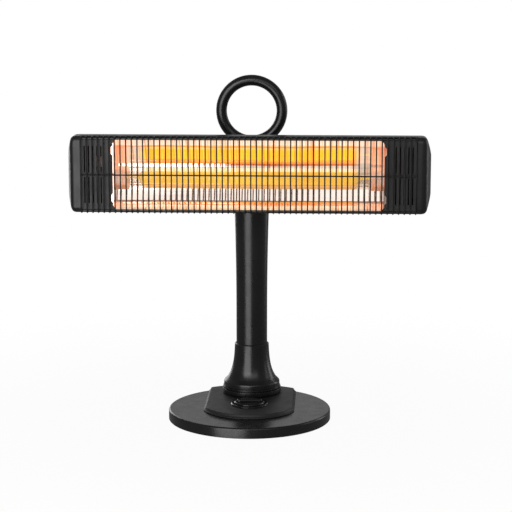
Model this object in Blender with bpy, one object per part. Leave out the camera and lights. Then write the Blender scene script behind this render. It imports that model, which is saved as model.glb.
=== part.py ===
"""Table-top infrared heater: a lamp head that tilts on a swivelling column above a round base.

Sizes are in metres. The origin is on the floor under the centre of the base, +Z is up and the
heater faces -Y. Each body of the heater hangs on an empty that stands on its joint's axis.
"""

import math

import bmesh
import bpy
from mathutils import Matrix, Vector

# --- Clearances -------------------------------------------------------------------------------
FIT_GAP = 0.0003  # between pieces that touch
SEAM = 0.0008  # open groove between two stacked rings
BORE_GAP = 0.0003  # round a shaft, pin or screw in its hole

# --- Base -------------------------------------------------------------------------------------
BASE_RADIUS = 0.1200
BASE_TOP_Z = 0.0162
BASE_EDGE_RADIUS = 0.0030
BASE_RIM_Z = 0.0008
COVER_WALL = 0.0022
FOOT_HEIGHT = 0.0019
FOOT_RADIUS = 0.0085
FOOT_INSET = 0.0200
PLATE_THICKNESS = 0.0020
BALLAST_BORE = 0.0420
BALLAST_SLOT_HALF_WIDTH = 0.0300
BALLAST_SLOT_START = 0.0300
BASE_SCREW_INSET = 0.0300

# --- Control housing and knob -----------------------------------------------------------------
HOUSING_HEIGHT = 0.0057
HOUSING_HALF_WIDTH = 0.0670
HOUSING_FRONT_MARGIN = 0.0386
HOUSING_REAR_MARGIN = 0.0025
HOUSING_CORNER = 0.0080
HOUSING_WALL = 0.0022
HOUSING_DRAFT = 0.0036
KNOB_TO_COLUMN = 0.0770
BEZEL_RADIUS = 0.0276
BEZEL_HEIGHT = 0.0020
BEZEL_WIDTH = 0.0042
KNOB_HEIGHT = 0.0047
GRIP_LENGTH = 0.0370
GRIP_WIDTH = 0.0085
GRIP_RISE = 0.0028
GRIP_TURN = math.radians(6.0)
SHAFT_RADIUS = 0.0030
SWITCH_SIZE = 0.0280

# --- Tip-over switch and cable inlet ----------------------------------------------------------
TIP_SWITCH_X = 0.0600
TIP_SWITCH_TO_COLUMN = 0.0270
TIP_SWITCH_LENGTH = 0.0240
TIP_SWITCH_WIDTH = 0.0140
PLUNGER_RADIUS = 0.0022
PLUNGER_BUTTON_RADIUS = 0.0032
PLUNGER_LIFT = 0.0002
GLAND_RADIUS = 0.0052
GLAND_FLANGE_RADIUS = 0.0058
GLAND_BORE = 0.0032
GLAND_LENGTH = 0.0120
GLAND_Z = 0.0078

# --- Column -----------------------------------------------------------------------------------
COLUMN_SETBACK = 0.0480
COLUMN_RADIUS = 0.0233
COLUMN_HEAD_RADIUS = 0.0270
COLUMN_WALL = 0.0018
COLUMN_FLARE_START_Z = 0.1500
COLUMN_FLARE_END_Z = 0.3380
COLUMN_TOP_Z = 0.3950
COLLAR_RADIUS = 0.0444
COLLAR_HEIGHT = 0.0075
COLLAR_BORE = 0.0300
NECK_RADIUS = 0.0415
SWIVEL_RING_RADIUS = 0.0436
SWIVEL_RING_HEIGHT = 0.0022
SKIRT_FOOT_RADIUS = 0.0423
SKIRT_NECK_RADIUS = 0.0252
SKIRT_FLARE = 0.0119
SKIRT_FLARE_LENGTH = 0.0172
SKIRT_FLARE_END_Z = 0.0455
SKIRT_SHOULDER_Z = 0.0388
SKIRT_SHOULDER_RADIUS = 0.0040
SKIRT_TOP_Z = 0.0990
SKIRT_WALL = 0.0025
POST_RADIUS = 0.0100
POST_BORE = 0.0070
POST_TOP_Z = 0.0700
POST_FLANGE_RADIUS = 0.0280
POST_FLANGE_THICKNESS = 0.0030
HUB_FLANGE_RADIUS = 0.0380
HUB_FLANGE_THICKNESS = 0.0030
HUB_TOP_Z = 0.0600
NUT_RADIUS = 0.0165
NUT_HEIGHT = 0.0070
CAP_PLUG_DEPTH = 0.0095
CAP_RISE = 0.0090
LEAD_RADIUS = 0.0032

# --- Carrying ring ----------------------------------------------------------------------------
RING_CENTRE_Z = 0.4518
RING_RADIUS = 0.04505
RING_TUBE_RADIUS = 0.00805
STEM_RADIUS = 0.0120

# --- Tilt joint -------------------------------------------------------------------------------
BRACKET_ROOM = 0.0010  # between the knuckle and the bracket behind it
ARM_ROOM = 0.0015  # between the ears and the arm plate in front of them
KNUCKLE_RADIUS = 0.0085
KNUCKLE_HALF_WIDTH = 0.0117
WASHER_THICKNESS = 0.0013
EAR_THICKNESS = 0.0044
BRACKET_HALF_HEIGHT = 0.0198
BRACKET_THICKNESS = 0.0042
BRACKET_SCREW_OFFSET = 0.0135
BOLT_RADIUS = 0.0030
TILT_KNOB_RADIUS = 0.0110
TILT_KNOB_LENGTH = 0.0130
ARM_THICKNESS = 0.0027
ARM_HALF_WIDTH = 0.0170
ARM_HALF_HEIGHT = 0.0240
ARM_SCREW_X = 0.0115
ARM_SCREW_Z = 0.0180
SCREW_RADIUS = 0.0020
SCREW_HEAD_RADIUS = 0.0036
SCREW_HEAD_HEIGHT = 0.0018

# --- Lamp head --------------------------------------------------------------------------------
HEAD_WIDTH = 0.5250
HEAD_HEIGHT = 0.1112
HEAD_DEPTH = 0.0600
HEAD_Z = 0.3688
HEAD_CORNER = 0.0310
SHELL_WALL = 0.0020
GUARD_LEDGE_DEPTH = 0.0110
GUARD_LEDGE_DROP = 0.0024
CAP_WIDTH = 0.0205
CAP_FRONT_RADIUS = 0.0090
VENT_WIDTH = 0.0465
PANEL_THICKNESS = 0.0020
PANEL_RECESS = 0.0020
SLOT_PITCH = 0.0060
SLOT_WIDTH = 0.0020
SLOT_INSET = 0.0160
SLOTS_PER_ROW = 5
NOTCH_DEPTH = 0.0025
GUSSET = 0.0045
SLOT_INNER_Z = 0.0032
SLOT_OUTER_Z = 0.0415
GUARD_WIRES = 60
GUARD_END_GAP = 0.0005
WIRE_SIZE = 0.0018
GUARD_STAND_OFF = 0.0050
GUARD_LEG_DEPTH = 0.0100

# --- Lamp and reflector -----------------------------------------------------------------------
LAMP_Y = -0.0100  # lamp and reflector places are measured from the middle of the head
LAMP_Z = -0.0060
LAMP_RADIUS = 0.0095
LAMP_WALL = 0.0012
LAMP_END_ROOM = 0.0115
ELEMENT_RADIUS = 0.0055
ELEMENT_END_ROOM = 0.0270
ELEMENT_LEAD_RADIUS = 0.0010
SOCKET_RADIUS = 0.0112
SOCKET_LENGTH = 0.0320
SOCKET_DEPTH = 0.0070
REFLECTOR_SHEET = 0.0008
REFLECTOR_FRONT_Y = -0.0255
REFLECTOR_FOLD_Y = -0.0130
REFLECTOR_BACK_Y = 0.0070
REFLECTOR_FRONT_MARGIN = 0.0015
REFLECTOR_FOLD_DROP = 0.0100
REFLECTOR_BACK_Z = 0.0140
REFLECTOR_LOWER_Y = -0.0020
REFLECTOR_LOWER_DROP = 0.0092
REFLECTOR_TURN_Y = -0.0100
REFLECTOR_TURN_DROP = 0.0037
REFLECTOR_TAB_LOW_Z = 0.0275
REFLECTOR_TAB_HIGH_Z = 0.0415
REFLECTOR_TAB_WIDTH = 0.0030
HOLDER_GAP = 0.0035
HOLDER_THICKNESS = 0.0012

# --- Places that follow from the sizes above ----------------------------------------------------
FOOT_CIRCLE = BASE_RADIUS - FOOT_INSET
BASE_SCREW_CIRCLE = BASE_RADIUS - BASE_SCREW_INSET
COLUMN_Y = BASE_RADIUS - COLUMN_SETBACK
TIP_SWITCH_Y = COLUMN_Y - TIP_SWITCH_TO_COLUMN
KNOB_Y = COLUMN_Y - KNOB_TO_COLUMN
HOUSING_FRONT_RADIUS = BEZEL_RADIUS - KNOB_Y + HOUSING_FRONT_MARGIN
HOUSING_REAR_RADIUS = BASE_RADIUS - HOUSING_REAR_MARGIN
BRACKET_DEPTH = BRACKET_THICKNESS + FIT_GAP
TILT_Y = COLUMN_Y - COLUMN_HEAD_RADIUS - BRACKET_DEPTH - BRACKET_ROOM - KNUCKLE_RADIUS
ARM_REAR_DEPTH = HEAD_DEPTH / 2 + FIT_GAP + ARM_THICKNESS
HEAD_Y = TILT_Y - KNUCKLE_RADIUS - ARM_ROOM - ARM_REAR_DEPTH
COVER_CEILING_Z = BASE_TOP_Z - COVER_WALL
PLATE_Z = FOOT_HEIGHT + FIT_GAP
PLATE_TOP_Z = PLATE_Z + PLATE_THICKNESS
INSIDE_FLOOR_Z = PLATE_TOP_Z + FIT_GAP
INSIDE_TOP_Z = COVER_CEILING_Z - FIT_GAP
HOUSING_Z = BASE_TOP_Z + FIT_GAP
HOUSING_TOP_Z = HOUSING_Z + HOUSING_HEIGHT
COLLAR_Z = HOUSING_TOP_Z + FIT_GAP
COLLAR_TOP_Z = COLLAR_Z + COLLAR_HEIGHT
SWIVEL_RING_Z = COLLAR_TOP_Z + SEAM
SWIVEL_RING_TOP_Z = SWIVEL_RING_Z + SWIVEL_RING_HEIGHT
SKIRT_Z = SWIVEL_RING_TOP_Z + SEAM
HUB_FLANGE_TOP_Z = SKIRT_Z + HUB_FLANGE_THICKNESS
COLUMN_Z = HUB_FLANGE_TOP_Z + FIT_GAP
RING_SCREW_Z = COLUMN_TOP_Z - CAP_PLUG_DEPTH / 2
BRACKET_FRONT_Y = TILT_Y - COLUMN_Y + KNUCKLE_RADIUS + BRACKET_ROOM
EAR_INNER_X = KNUCKLE_HALF_WIDTH + WASHER_THICKNESS + 2 * FIT_GAP
EAR_OUTER_X = EAR_INNER_X + EAR_THICKNESS
SHELL_HALF_LENGTH = HEAD_WIDTH / 2 - CAP_WIDTH - FIT_GAP
HALF_HEIGHT = HEAD_HEIGHT / 2
HALF_DEPTH = HEAD_DEPTH / 2
LEDGE_Z = HALF_HEIGHT - GUARD_LEDGE_DROP
LEDGE_Y = -HALF_DEPTH + GUARD_LEDGE_DEPTH
OPENING_HALF_HEIGHT = LEDGE_Z - SHELL_WALL
WINDOW_HALF_WIDTH = HEAD_WIDTH / 2 - CAP_WIDTH - VENT_WIDTH
GUARD_SPAN = 2 * (SHELL_HALF_LENGTH - GUARD_END_GAP) - WIRE_SIZE
GUARD_PITCH = GUARD_SPAN / (GUARD_WIRES - 1)
LAMP_HALF_LENGTH = WINDOW_HALF_WIDTH - LAMP_END_ROOM
ELEMENT_HALF_LENGTH = LAMP_HALF_LENGTH - ELEMENT_END_ROOM
REFLECTOR_FRONT_Z = OPENING_HALF_HEIGHT - REFLECTOR_FRONT_MARGIN
REFLECTOR_FOLD_Z = OPENING_HALF_HEIGHT - REFLECTOR_FOLD_DROP
HOLDER_X = WINDOW_HALF_WIDTH + HOLDER_GAP
ARM_Y = HALF_DEPTH + FIT_GAP


# --- Tools ------------------------------------------------------------------------------------
def clear_scene():
    for obj in list(bpy.data.objects):
        bpy.data.objects.remove(obj)


def make_material(name, colour, roughness, metallic=0.0, glow=0.0):
    material = bpy.data.materials.new(name)
    material.use_nodes = True
    shader = material.node_tree.nodes["Principled BSDF"]
    shader.inputs["Base Color"].default_value = (*colour, 1.0)
    shader.inputs["Roughness"].default_value = roughness
    shader.inputs["Metallic"].default_value = metallic
    if glow:
        shader.inputs["Emission Color"].default_value = (*colour, 1.0)
        shader.inputs["Emission Strength"].default_value = glow
    return material


def add_empty(name, location, parent=None):
    """An empty at a world location; nothing in the heater is turned at rest."""
    empty = bpy.data.objects.new(name, None)
    empty.empty_display_size = 0.03
    empty.parent = parent
    empty.location = Vector(location) - (parent.matrix_world.translation if parent else Vector())
    bpy.context.scene.collection.objects.link(empty)
    bpy.context.view_layer.update()
    return empty


def add_piece(name, bm, material, parent, offset=(0.0, 0.0, 0.0)):
    """Makes a shape, drawn round its parent's axis, into a named piece."""
    bmesh.ops.recalc_face_normals(bm, faces=bm.faces)
    mesh = bpy.data.meshes.new(name)
    bm.to_mesh(mesh)
    bm.free()
    mesh.shade_smooth()
    mesh.set_sharp_from_angle(angle=math.radians(30.0))
    if material:
        mesh.materials.append(material)
    obj = bpy.data.objects.new(name, mesh)
    obj.parent = parent
    obj.location = offset
    bpy.context.scene.collection.objects.link(obj)
    return obj


def combine(obj, operation, bm, offset=(0.0, 0.0, 0.0)):
    """Cuts a shape from a piece or joins it to the piece; the helper stays hidden."""
    helper = add_piece(f"{obj.name}_helper_{len(obj.modifiers)}", bm, None, obj.parent, offset)
    helper.hide_render = True
    helper.display_type = "WIRE"
    modifier = obj.modifiers.new(helper.name, "BOOLEAN")
    modifier.operation = operation
    modifier.object = helper


def cut(obj, bm, offset=(0.0, 0.0, 0.0)):
    combine(obj, "DIFFERENCE", bm, offset)


def join(obj, bm, offset=(0.0, 0.0, 0.0)):
    combine(obj, "UNION", bm, offset)


def arc(centre, radius, start, end, steps):
    """Points on an arc, with both of its ends; angles in degrees."""
    points = []
    for step in range(steps + 1):
        angle = math.radians(start + (end - start) * step / steps)
        points.append((centre[0] + radius * math.cos(angle), centre[1] + radius * math.sin(angle)))
    return points


def turned(outline, segments=32):
    """A solid turned about Z from (radius, height) points; an outline off the axis is closed."""
    bm = bmesh.new()
    points = [bm.verts.new((radius, 0.0, height)) for radius, height in outline]
    pairs = list(zip(points, points[1:]))
    if outline[0][0] > 0.0:
        pairs.append((points[-1], points[0]))
    edges = [bm.edges.new(pair) for pair in pairs]
    bmesh.ops.spin(
        bm, geom=points + edges, cent=(0, 0, 0), axis=(0, 0, 1), angle=2 * math.pi, steps=segments
    )
    bmesh.ops.remove_doubles(bm, verts=bm.verts, dist=1e-6)
    return bm


def prism(outline, start, end, axis="Z"):
    """An outline of (x, y) points drawn out along Z, (x, z) along Y or (y, z) along X."""
    bm = bmesh.new()
    place = "XYZ".index(axis)
    corners = [bm.verts.new((*point[:place], start, *point[place:])) for point in outline]
    step = Vector((0.0, 0.0, 0.0))
    step[place] = end - start
    face = bm.faces.new(corners)
    grown = bmesh.ops.extrude_face_region(bm, geom=[face])["geom"]
    moved = [item for item in grown if isinstance(item, bmesh.types.BMVert)]
    bmesh.ops.translate(bm, verts=moved, vec=step)
    return bm


def loft(loops):
    """A closed solid through loops of 3-D points, with the first and the last loop filled."""
    bm = bmesh.new()
    rings = [[bm.verts.new(point) for point in loop] for loop in loops]
    for lower, upper in zip(rings, rings[1:]):
        for index in range(len(lower)):
            after = (index + 1) % len(lower)
            bm.faces.new((lower[index], lower[after], upper[after], upper[index]))
    bm.faces.new(rings[0])
    bm.faces.new(rings[-1])
    return bm


def box(low, high, bevel=0.0):
    bm = bmesh.new()
    size = Vector(high) - Vector(low)
    centre = (Vector(high) + Vector(low)) / 2
    matrix = Matrix.Translation(centre) @ Matrix.Diagonal((*size, 1.0))
    bmesh.ops.create_cube(bm, size=1.0, matrix=matrix)
    if bevel:
        bmesh.ops.bevel(bm, geom=bm.edges[:], offset=bevel, segments=2, profile=0.5, affect="EDGES")
    return bm


def rod(start, end, radius, segments=20):
    """A round bar between two points."""
    bm = bmesh.new()
    run = Vector(end) - Vector(start)
    turn = run.to_track_quat("Z", "Y").to_matrix().to_4x4()
    matrix = Matrix.Translation((Vector(start) + Vector(end)) / 2) @ turn
    bmesh.ops.create_cone(
        bm,
        cap_ends=True,
        segments=segments,
        radius1=radius,
        radius2=radius,
        depth=run.length,
        matrix=matrix,
    )
    return bm


def screw_shape(head, tip, segments=10):
    """A pan-head screw from the seat of its head to its tip."""
    direction = (Vector(tip) - Vector(head)).normalized()
    length = (Vector(tip) - Vector(head)).length
    outline = [
        (0.0, -SCREW_HEAD_HEIGHT),
        (SCREW_HEAD_RADIUS * 0.7, -SCREW_HEAD_HEIGHT),
        (SCREW_HEAD_RADIUS, -SCREW_HEAD_HEIGHT * 0.5),
        (SCREW_HEAD_RADIUS, 0.0),
        (SCREW_RADIUS, 0.0),
        (SCREW_RADIUS, length),
        (0.0, length),
    ]
    bm = turned(outline, segments)
    turn = direction.to_track_quat("Z", "Y").to_matrix().to_4x4()
    bmesh.ops.transform(bm, matrix=Matrix.Translation(head) @ turn, verts=bm.verts)
    return bm


def mirrored(outline):
    """An outline above the middle line, closed by its mirror image below it."""
    return outline + [(u, -v) for u, v in reversed(outline)]


# --- Base -------------------------------------------------------------------------------------
def make_base_cover(frame, paint):
    edge_centre = (BASE_RADIUS - BASE_EDGE_RADIUS, BASE_TOP_Z - BASE_EDGE_RADIUS)
    inside = BASE_RADIUS - COVER_WALL
    outline = [(0.0, BASE_TOP_Z)]
    outline += arc(edge_centre, BASE_EDGE_RADIUS, 90, 0, 3)
    outline += [(BASE_RADIUS, BASE_RIM_Z), (inside, BASE_RIM_Z)]
    outline += [(inside, COVER_CEILING_Z), (0.0, COVER_CEILING_Z)]
    cover = add_piece("base_cover", turned(outline, 64), paint, frame)
    above = BASE_TOP_Z + 0.01
    cut(cover, rod((0, COLUMN_Y, 0), (0, COLUMN_Y, above), POST_RADIUS + BORE_GAP))
    cut(cover, rod((0, KNOB_Y, 0), (0, KNOB_Y, above), SHAFT_RADIUS + BORE_GAP))
    rear = BASE_RADIUS + 0.01
    cut(cover, rod((0, inside - 0.01, GLAND_Z), (0, rear, GLAND_Z), GLAND_RADIUS + BORE_GAP))


def make_ballast(frame, iron):
    outer = BASE_RADIUS - COVER_WALL - 0.0035
    outline = [
        (BALLAST_BORE, INSIDE_FLOOR_Z),
        (outer, INSIDE_FLOOR_Z),
        (outer, INSIDE_TOP_Z),
        (BALLAST_BORE, INSIDE_TOP_Z),
    ]
    ballast = add_piece("base_ballast", turned(outline, 64), iron, frame)
    slot = BALLAST_SLOT_HALF_WIDTH
    cut(ballast, box((-slot, BALLAST_SLOT_START, -0.01), (slot, BASE_RADIUS, 0.05)))
    pocket = Vector((TIP_SWITCH_LENGTH / 2 + 0.001, TIP_SWITCH_WIDTH / 2 + 0.001, 0.05))
    place = Vector((TIP_SWITCH_X, TIP_SWITCH_Y, 0.0))
    cut(ballast, box(place - pocket, place + pocket))
    for x, y in screw_places():
        top = INSIDE_TOP_Z - 0.0015
        cut(ballast, rod((x, y, 0.0), (x, y, top), SCREW_RADIUS + BORE_GAP, 16))


def screw_places():
    return [
        (BASE_SCREW_CIRCLE * math.cos(angle), BASE_SCREW_CIRCLE * math.sin(angle))
        for angle in (math.radians(45 + 120 * index) for index in range(3))
    ]


def make_base_plate(frame, steel):
    radius = BASE_RADIUS - COVER_WALL - BORE_GAP
    outline = [(0.0, PLATE_Z), (radius, PLATE_Z), (radius, PLATE_TOP_Z), (0.0, PLATE_TOP_Z)]
    plate = add_piece("base_plate", turned(outline, 64), steel, frame)
    for x, y in screw_places():
        cut(plate, rod((x, y, 0.0), (x, y, 0.01), SCREW_RADIUS + BORE_GAP, 16))
    low = (TIP_SWITCH_X, TIP_SWITCH_Y, 0.0)
    high = (TIP_SWITCH_X, TIP_SWITCH_Y, 0.01)
    cut(plate, rod(low, high, PLUNGER_BUTTON_RADIUS + BORE_GAP, 16))
    start = (0, radius - GLAND_LENGTH, GLAND_Z)
    end = (0, radius + 0.01, GLAND_Z)
    cut(plate, rod(start, end, GLAND_FLANGE_RADIUS + BORE_GAP))


def make_base_fittings(frame, rubber, steel, black):
    for index in range(4):
        angle = math.radians(90 * index)
        x, y = FOOT_CIRCLE * math.cos(angle), FOOT_CIRCLE * math.sin(angle)
        foot = rod((x, y, 0.0), (x, y, FOOT_HEIGHT), FOOT_RADIUS)
        add_piece(f"foot_{index + 1}", foot, rubber, frame)
    for index, (x, y) in enumerate(screw_places()):
        head = (x, y, PLATE_Z - FIT_GAP)
        tip = (x, y, INSIDE_TOP_Z - 0.0018)
        add_piece(f"base_screw_{index + 1}", screw_shape(head, tip), steel, frame)
    inside = BASE_RADIUS - COVER_WALL - FIT_GAP
    outline = [
        (GLAND_BORE, inside - GLAND_LENGTH),
        (GLAND_FLANGE_RADIUS, inside - GLAND_LENGTH),
        (GLAND_FLANGE_RADIUS, inside - 0.001),
        (GLAND_RADIUS, inside - 0.001),
        (GLAND_RADIUS, BASE_RADIUS - 0.0005),
        (GLAND_BORE, BASE_RADIUS - 0.0005),
    ]
    gland = turned(outline, 20)
    along_y = Matrix.Translation((0, 0, GLAND_Z)) @ Matrix.Rotation(-math.pi / 2, 4, "X")
    bmesh.ops.transform(gland, matrix=along_y, verts=gland.verts)
    add_piece("cable_gland", gland, black, frame)


def housing_outline(inset):
    """Plan of the control housing: straight sides, and arcs about the middle of the base."""
    corner_x = HOUSING_HALF_WIDTH - HOUSING_CORNER
    front_y = -math.sqrt((HOUSING_FRONT_RADIUS - HOUSING_CORNER) ** 2 - corner_x**2)
    rear_y = math.sqrt((HOUSING_REAR_RADIUS - HOUSING_CORNER) ** 2 - corner_x**2)
    front_angle = math.degrees(math.atan2(front_y, corner_x))
    rear_angle = math.degrees(math.atan2(rear_y, corner_x))
    corner = HOUSING_CORNER - inset
    right = arc((0, 0), HOUSING_FRONT_RADIUS - inset, -90, front_angle, 8)
    right += arc((corner_x, front_y), corner, front_angle, 0, 4)[1:]
    right += arc((corner_x, rear_y), corner, 0, rear_angle, 4)
    right += arc((0, 0), HOUSING_REAR_RADIUS - inset, rear_angle, 90, 6)[1:]
    return right + [(-x, y) for x, y in reversed(right[1:-1])]


def make_control_housing(frame, paint):
    def loop(inset, z):
        return [(x, y, z) for x, y in housing_outline(inset)]

    ceiling = HOUSING_TOP_Z - HOUSING_WALL
    loops = [
        loop(HOUSING_DRAFT + HOUSING_WALL, ceiling),
        loop(HOUSING_WALL, HOUSING_Z + 0.0012),
        loop(HOUSING_WALL, HOUSING_Z),
        loop(0.0, HOUSING_Z),
        loop(0.0, HOUSING_Z + HOUSING_HEIGHT * 0.15),
        loop(HOUSING_DRAFT * 0.55, HOUSING_Z + HOUSING_HEIGHT * 0.45),
        loop(HOUSING_DRAFT, HOUSING_TOP_Z),
    ]
    housing = add_piece("control_housing", loft(loops), paint, frame)
    above = HOUSING_TOP_Z + 0.01
    cut(housing, rod((0, COLUMN_Y, 0), (0, COLUMN_Y, above), POST_RADIUS + BORE_GAP))
    cut(housing, rod((0, KNOB_Y, 0), (0, KNOB_Y, above), SHAFT_RADIUS + BORE_GAP))


def make_knob_bezel(frame, gloss):
    low = HOUSING_TOP_Z + FIT_GAP
    high = low + BEZEL_HEIGHT
    inner = BEZEL_RADIUS - BEZEL_WIDTH
    outline = [
        (inner, low),
        (BEZEL_RADIUS, low),
        (BEZEL_RADIUS, low + BEZEL_HEIGHT * 0.4),
        (BEZEL_RADIUS - BEZEL_WIDTH * 0.35, high),
        (inner + BEZEL_WIDTH * 0.2, high),
        (inner, high - BEZEL_HEIGHT * 0.25),
    ]
    add_piece("knob_bezel", turned(outline), gloss, frame, (0, KNOB_Y, 0))


def make_switch_knob(axis, gloss):
    radius = BEZEL_RADIUS - BEZEL_WIDTH - 0.0008
    low = HOUSING_TOP_Z + 2 * FIT_GAP
    top = HOUSING_TOP_Z + KNOB_HEIGHT
    outline = [
        (0.0, low),
        (radius, low),
        (radius, top - 0.0014),
        (radius - 0.0012, top),
        (radius - 0.0035, top),
        (radius - 0.0050, top - 0.0012),
        (0.0, top - 0.0012),
    ]
    knob = add_piece("switch_knob", turned(outline), gloss, axis)
    half = Vector((GRIP_LENGTH / 2, GRIP_WIDTH / 2, 0.0))
    grip = box(-half + Vector((0, 0, low + 0.001)), half + Vector((0, 0, top + GRIP_RISE)), 0.0015)
    bmesh.ops.rotate(grip, cent=(0, 0, 0), matrix=Matrix.Rotation(GRIP_TURN, 3, "Z"), verts=grip.verts)
    join(knob, grip)
    cut(knob, rod((0, 0, 0), (0, 0, top + GRIP_RISE - 0.002), SHAFT_RADIUS + BORE_GAP, 16))


def make_switches(frame, black, plunger_axis, red):
    half = SWITCH_SIZE / 2
    low = INSIDE_FLOOR_Z + FIT_GAP
    body = box((-half, KNOB_Y - half, low), (half, KNOB_Y + half, INSIDE_TOP_Z))
    switch = add_piece("rotary_switch", body, black, frame)
    shaft_top = HOUSING_TOP_Z + KNOB_HEIGHT + GRIP_RISE - 0.0025
    join(switch, rod((0, KNOB_Y, low + 0.002), (0, KNOB_Y, shaft_top), SHAFT_RADIUS, 16))

    size = Vector((TIP_SWITCH_LENGTH / 2, TIP_SWITCH_WIDTH / 2, 0.0))
    place = Vector((TIP_SWITCH_X, TIP_SWITCH_Y, 0.0))
    tip_body = box(place - size + Vector((0, 0, low)), place + size + Vector((0, 0, INSIDE_TOP_Z)))
    tip_switch = add_piece("tip_switch", tip_body, black, frame)
    bore_top = INSIDE_TOP_Z - 0.0012
    end = place + Vector((0, 0, bore_top))
    cut(tip_switch, rod(place, end, PLUNGER_RADIUS + BORE_GAP, 16))

    outline = [
        (0.0, PLUNGER_LIFT),
        (PLUNGER_BUTTON_RADIUS - 0.0006, PLUNGER_LIFT),
        (PLUNGER_BUTTON_RADIUS, PLUNGER_LIFT + 0.0006),
        (PLUNGER_BUTTON_RADIUS, PLATE_TOP_Z),
        (PLUNGER_RADIUS, PLATE_TOP_Z),
        (PLUNGER_RADIUS, bore_top - FIT_GAP),
        (0.0, bore_top - FIT_GAP),
    ]
    add_piece("tip_plunger", turned(outline, 16), red, plunger_axis)


# --- Swivel foot ------------------------------------------------------------------------------
def make_swivel_foot(foot, column, gloss, steel, plastic):
    outline = [
        (COLLAR_BORE, COLLAR_Z),
        (COLLAR_RADIUS - 0.0012, COLLAR_Z),
        (COLLAR_RADIUS, COLLAR_Z + 0.0018),
        (COLLAR_RADIUS, COLLAR_TOP_Z - 0.0006),
        (COLLAR_RADIUS - 0.0006, COLLAR_TOP_Z),
        (NECK_RADIUS, COLLAR_TOP_Z),
        (NECK_RADIUS, COLLAR_TOP_Z + SEAM - FIT_GAP),
        (COLLAR_BORE, COLLAR_TOP_Z + SEAM - FIT_GAP),
    ]
    add_piece("foot_collar", turned(outline), gloss, foot)

    flange = COLLAR_Z
    flange_top = flange + POST_FLANGE_THICKNESS
    outline = [
        (POST_BORE, INSIDE_FLOOR_Z),
        (POST_RADIUS, INSIDE_FLOOR_Z),
        (POST_RADIUS, flange),
        (POST_FLANGE_RADIUS, flange),
        (POST_FLANGE_RADIUS, flange_top),
        (POST_RADIUS, flange_top),
        (POST_RADIUS, POST_TOP_Z),
        (POST_BORE, POST_TOP_Z),
    ]
    add_piece("swivel_post", turned(outline, 32), steel, foot)
    nut_low = INSIDE_FLOOR_Z + 0.0010
    nut_outline = hexagon_ring(nut_low, nut_low + NUT_HEIGHT)
    add_piece("post_nut", nut_outline, steel, foot)
    top_nut = hexagon_ring(HUB_TOP_Z + FIT_GAP, HUB_TOP_Z + FIT_GAP + NUT_HEIGHT)
    add_piece("swivel_nut", top_nut, steel, foot)

    outline = [
        (COLLAR_BORE, SWIVEL_RING_Z),
        (SWIVEL_RING_RADIUS - 0.0004, SWIVEL_RING_Z),
        (SWIVEL_RING_RADIUS, SWIVEL_RING_Z + 0.0004),
        (SWIVEL_RING_RADIUS, SWIVEL_RING_TOP_Z - 0.0004),
        (SWIVEL_RING_RADIUS - 0.0004, SWIVEL_RING_TOP_Z),
        (NECK_RADIUS, SWIVEL_RING_TOP_Z),
        (NECK_RADIUS, SKIRT_Z - FIT_GAP),
        (COLLAR_BORE, SKIRT_Z - FIT_GAP),
    ]
    add_piece("swivel_ring", turned(outline), gloss, column)

    bore = POST_RADIUS + BORE_GAP
    barrel = COLUMN_RADIUS - COLUMN_WALL - FIT_GAP
    outline = [
        (bore, SKIRT_Z),
        (HUB_FLANGE_RADIUS, SKIRT_Z),
        (HUB_FLANGE_RADIUS, HUB_FLANGE_TOP_Z),
        (barrel, HUB_FLANGE_TOP_Z),
        (barrel, HUB_TOP_Z),
        (bore, HUB_TOP_Z),
    ]
    add_piece("swivel_hub", turned(outline, 32), plastic, column)


def hexagon_ring(low, high):
    """A hexagon nut round the swivel post."""
    bm = bmesh.new()
    bore = POST_RADIUS + BORE_GAP
    rings = []
    for radius, z in ((NUT_RADIUS, low), (NUT_RADIUS, high), (bore, high), (bore, low)):
        ring = []
        for index in range(24):
            angle = 2 * math.pi * index / 24
            flat = math.cos(math.pi / 6) / math.cos((angle + math.pi / 6) % (math.pi / 3) - math.pi / 6)
            reach = radius * flat if radius == NUT_RADIUS else radius
            ring.append(bm.verts.new((reach * math.cos(angle), reach * math.sin(angle), z)))
        rings.append(ring)
    for ring, following in zip(rings, rings[1:] + rings[:1]):
        for index in range(24):
            after = (index + 1) % 24
            bm.faces.new((ring[index], ring[after], following[after], following[index]))
    return bm


# --- Column -----------------------------------------------------------------------------------
def skirt_radius(z):
    """The skirt widens downwards by an exponential flare."""
    return SKIRT_NECK_RADIUS + SKIRT_FLARE * math.exp((SKIRT_FLARE_END_Z - z) / SKIRT_FLARE_LENGTH)


def column_radius(z):
    """The tube is straight, then widens by a parabola to its head."""
    run = (z - COLUMN_FLARE_START_Z) / (COLUMN_FLARE_END_Z - COLUMN_FLARE_START_Z)
    run = min(max(run, 0.0), 1.0)
    return COLUMN_RADIUS + (COLUMN_HEAD_RADIUS - COLUMN_RADIUS) * run**2


def levels(start, end, steps):
    return [start + (end - start) * step / steps for step in range(steps + 1)]


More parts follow.
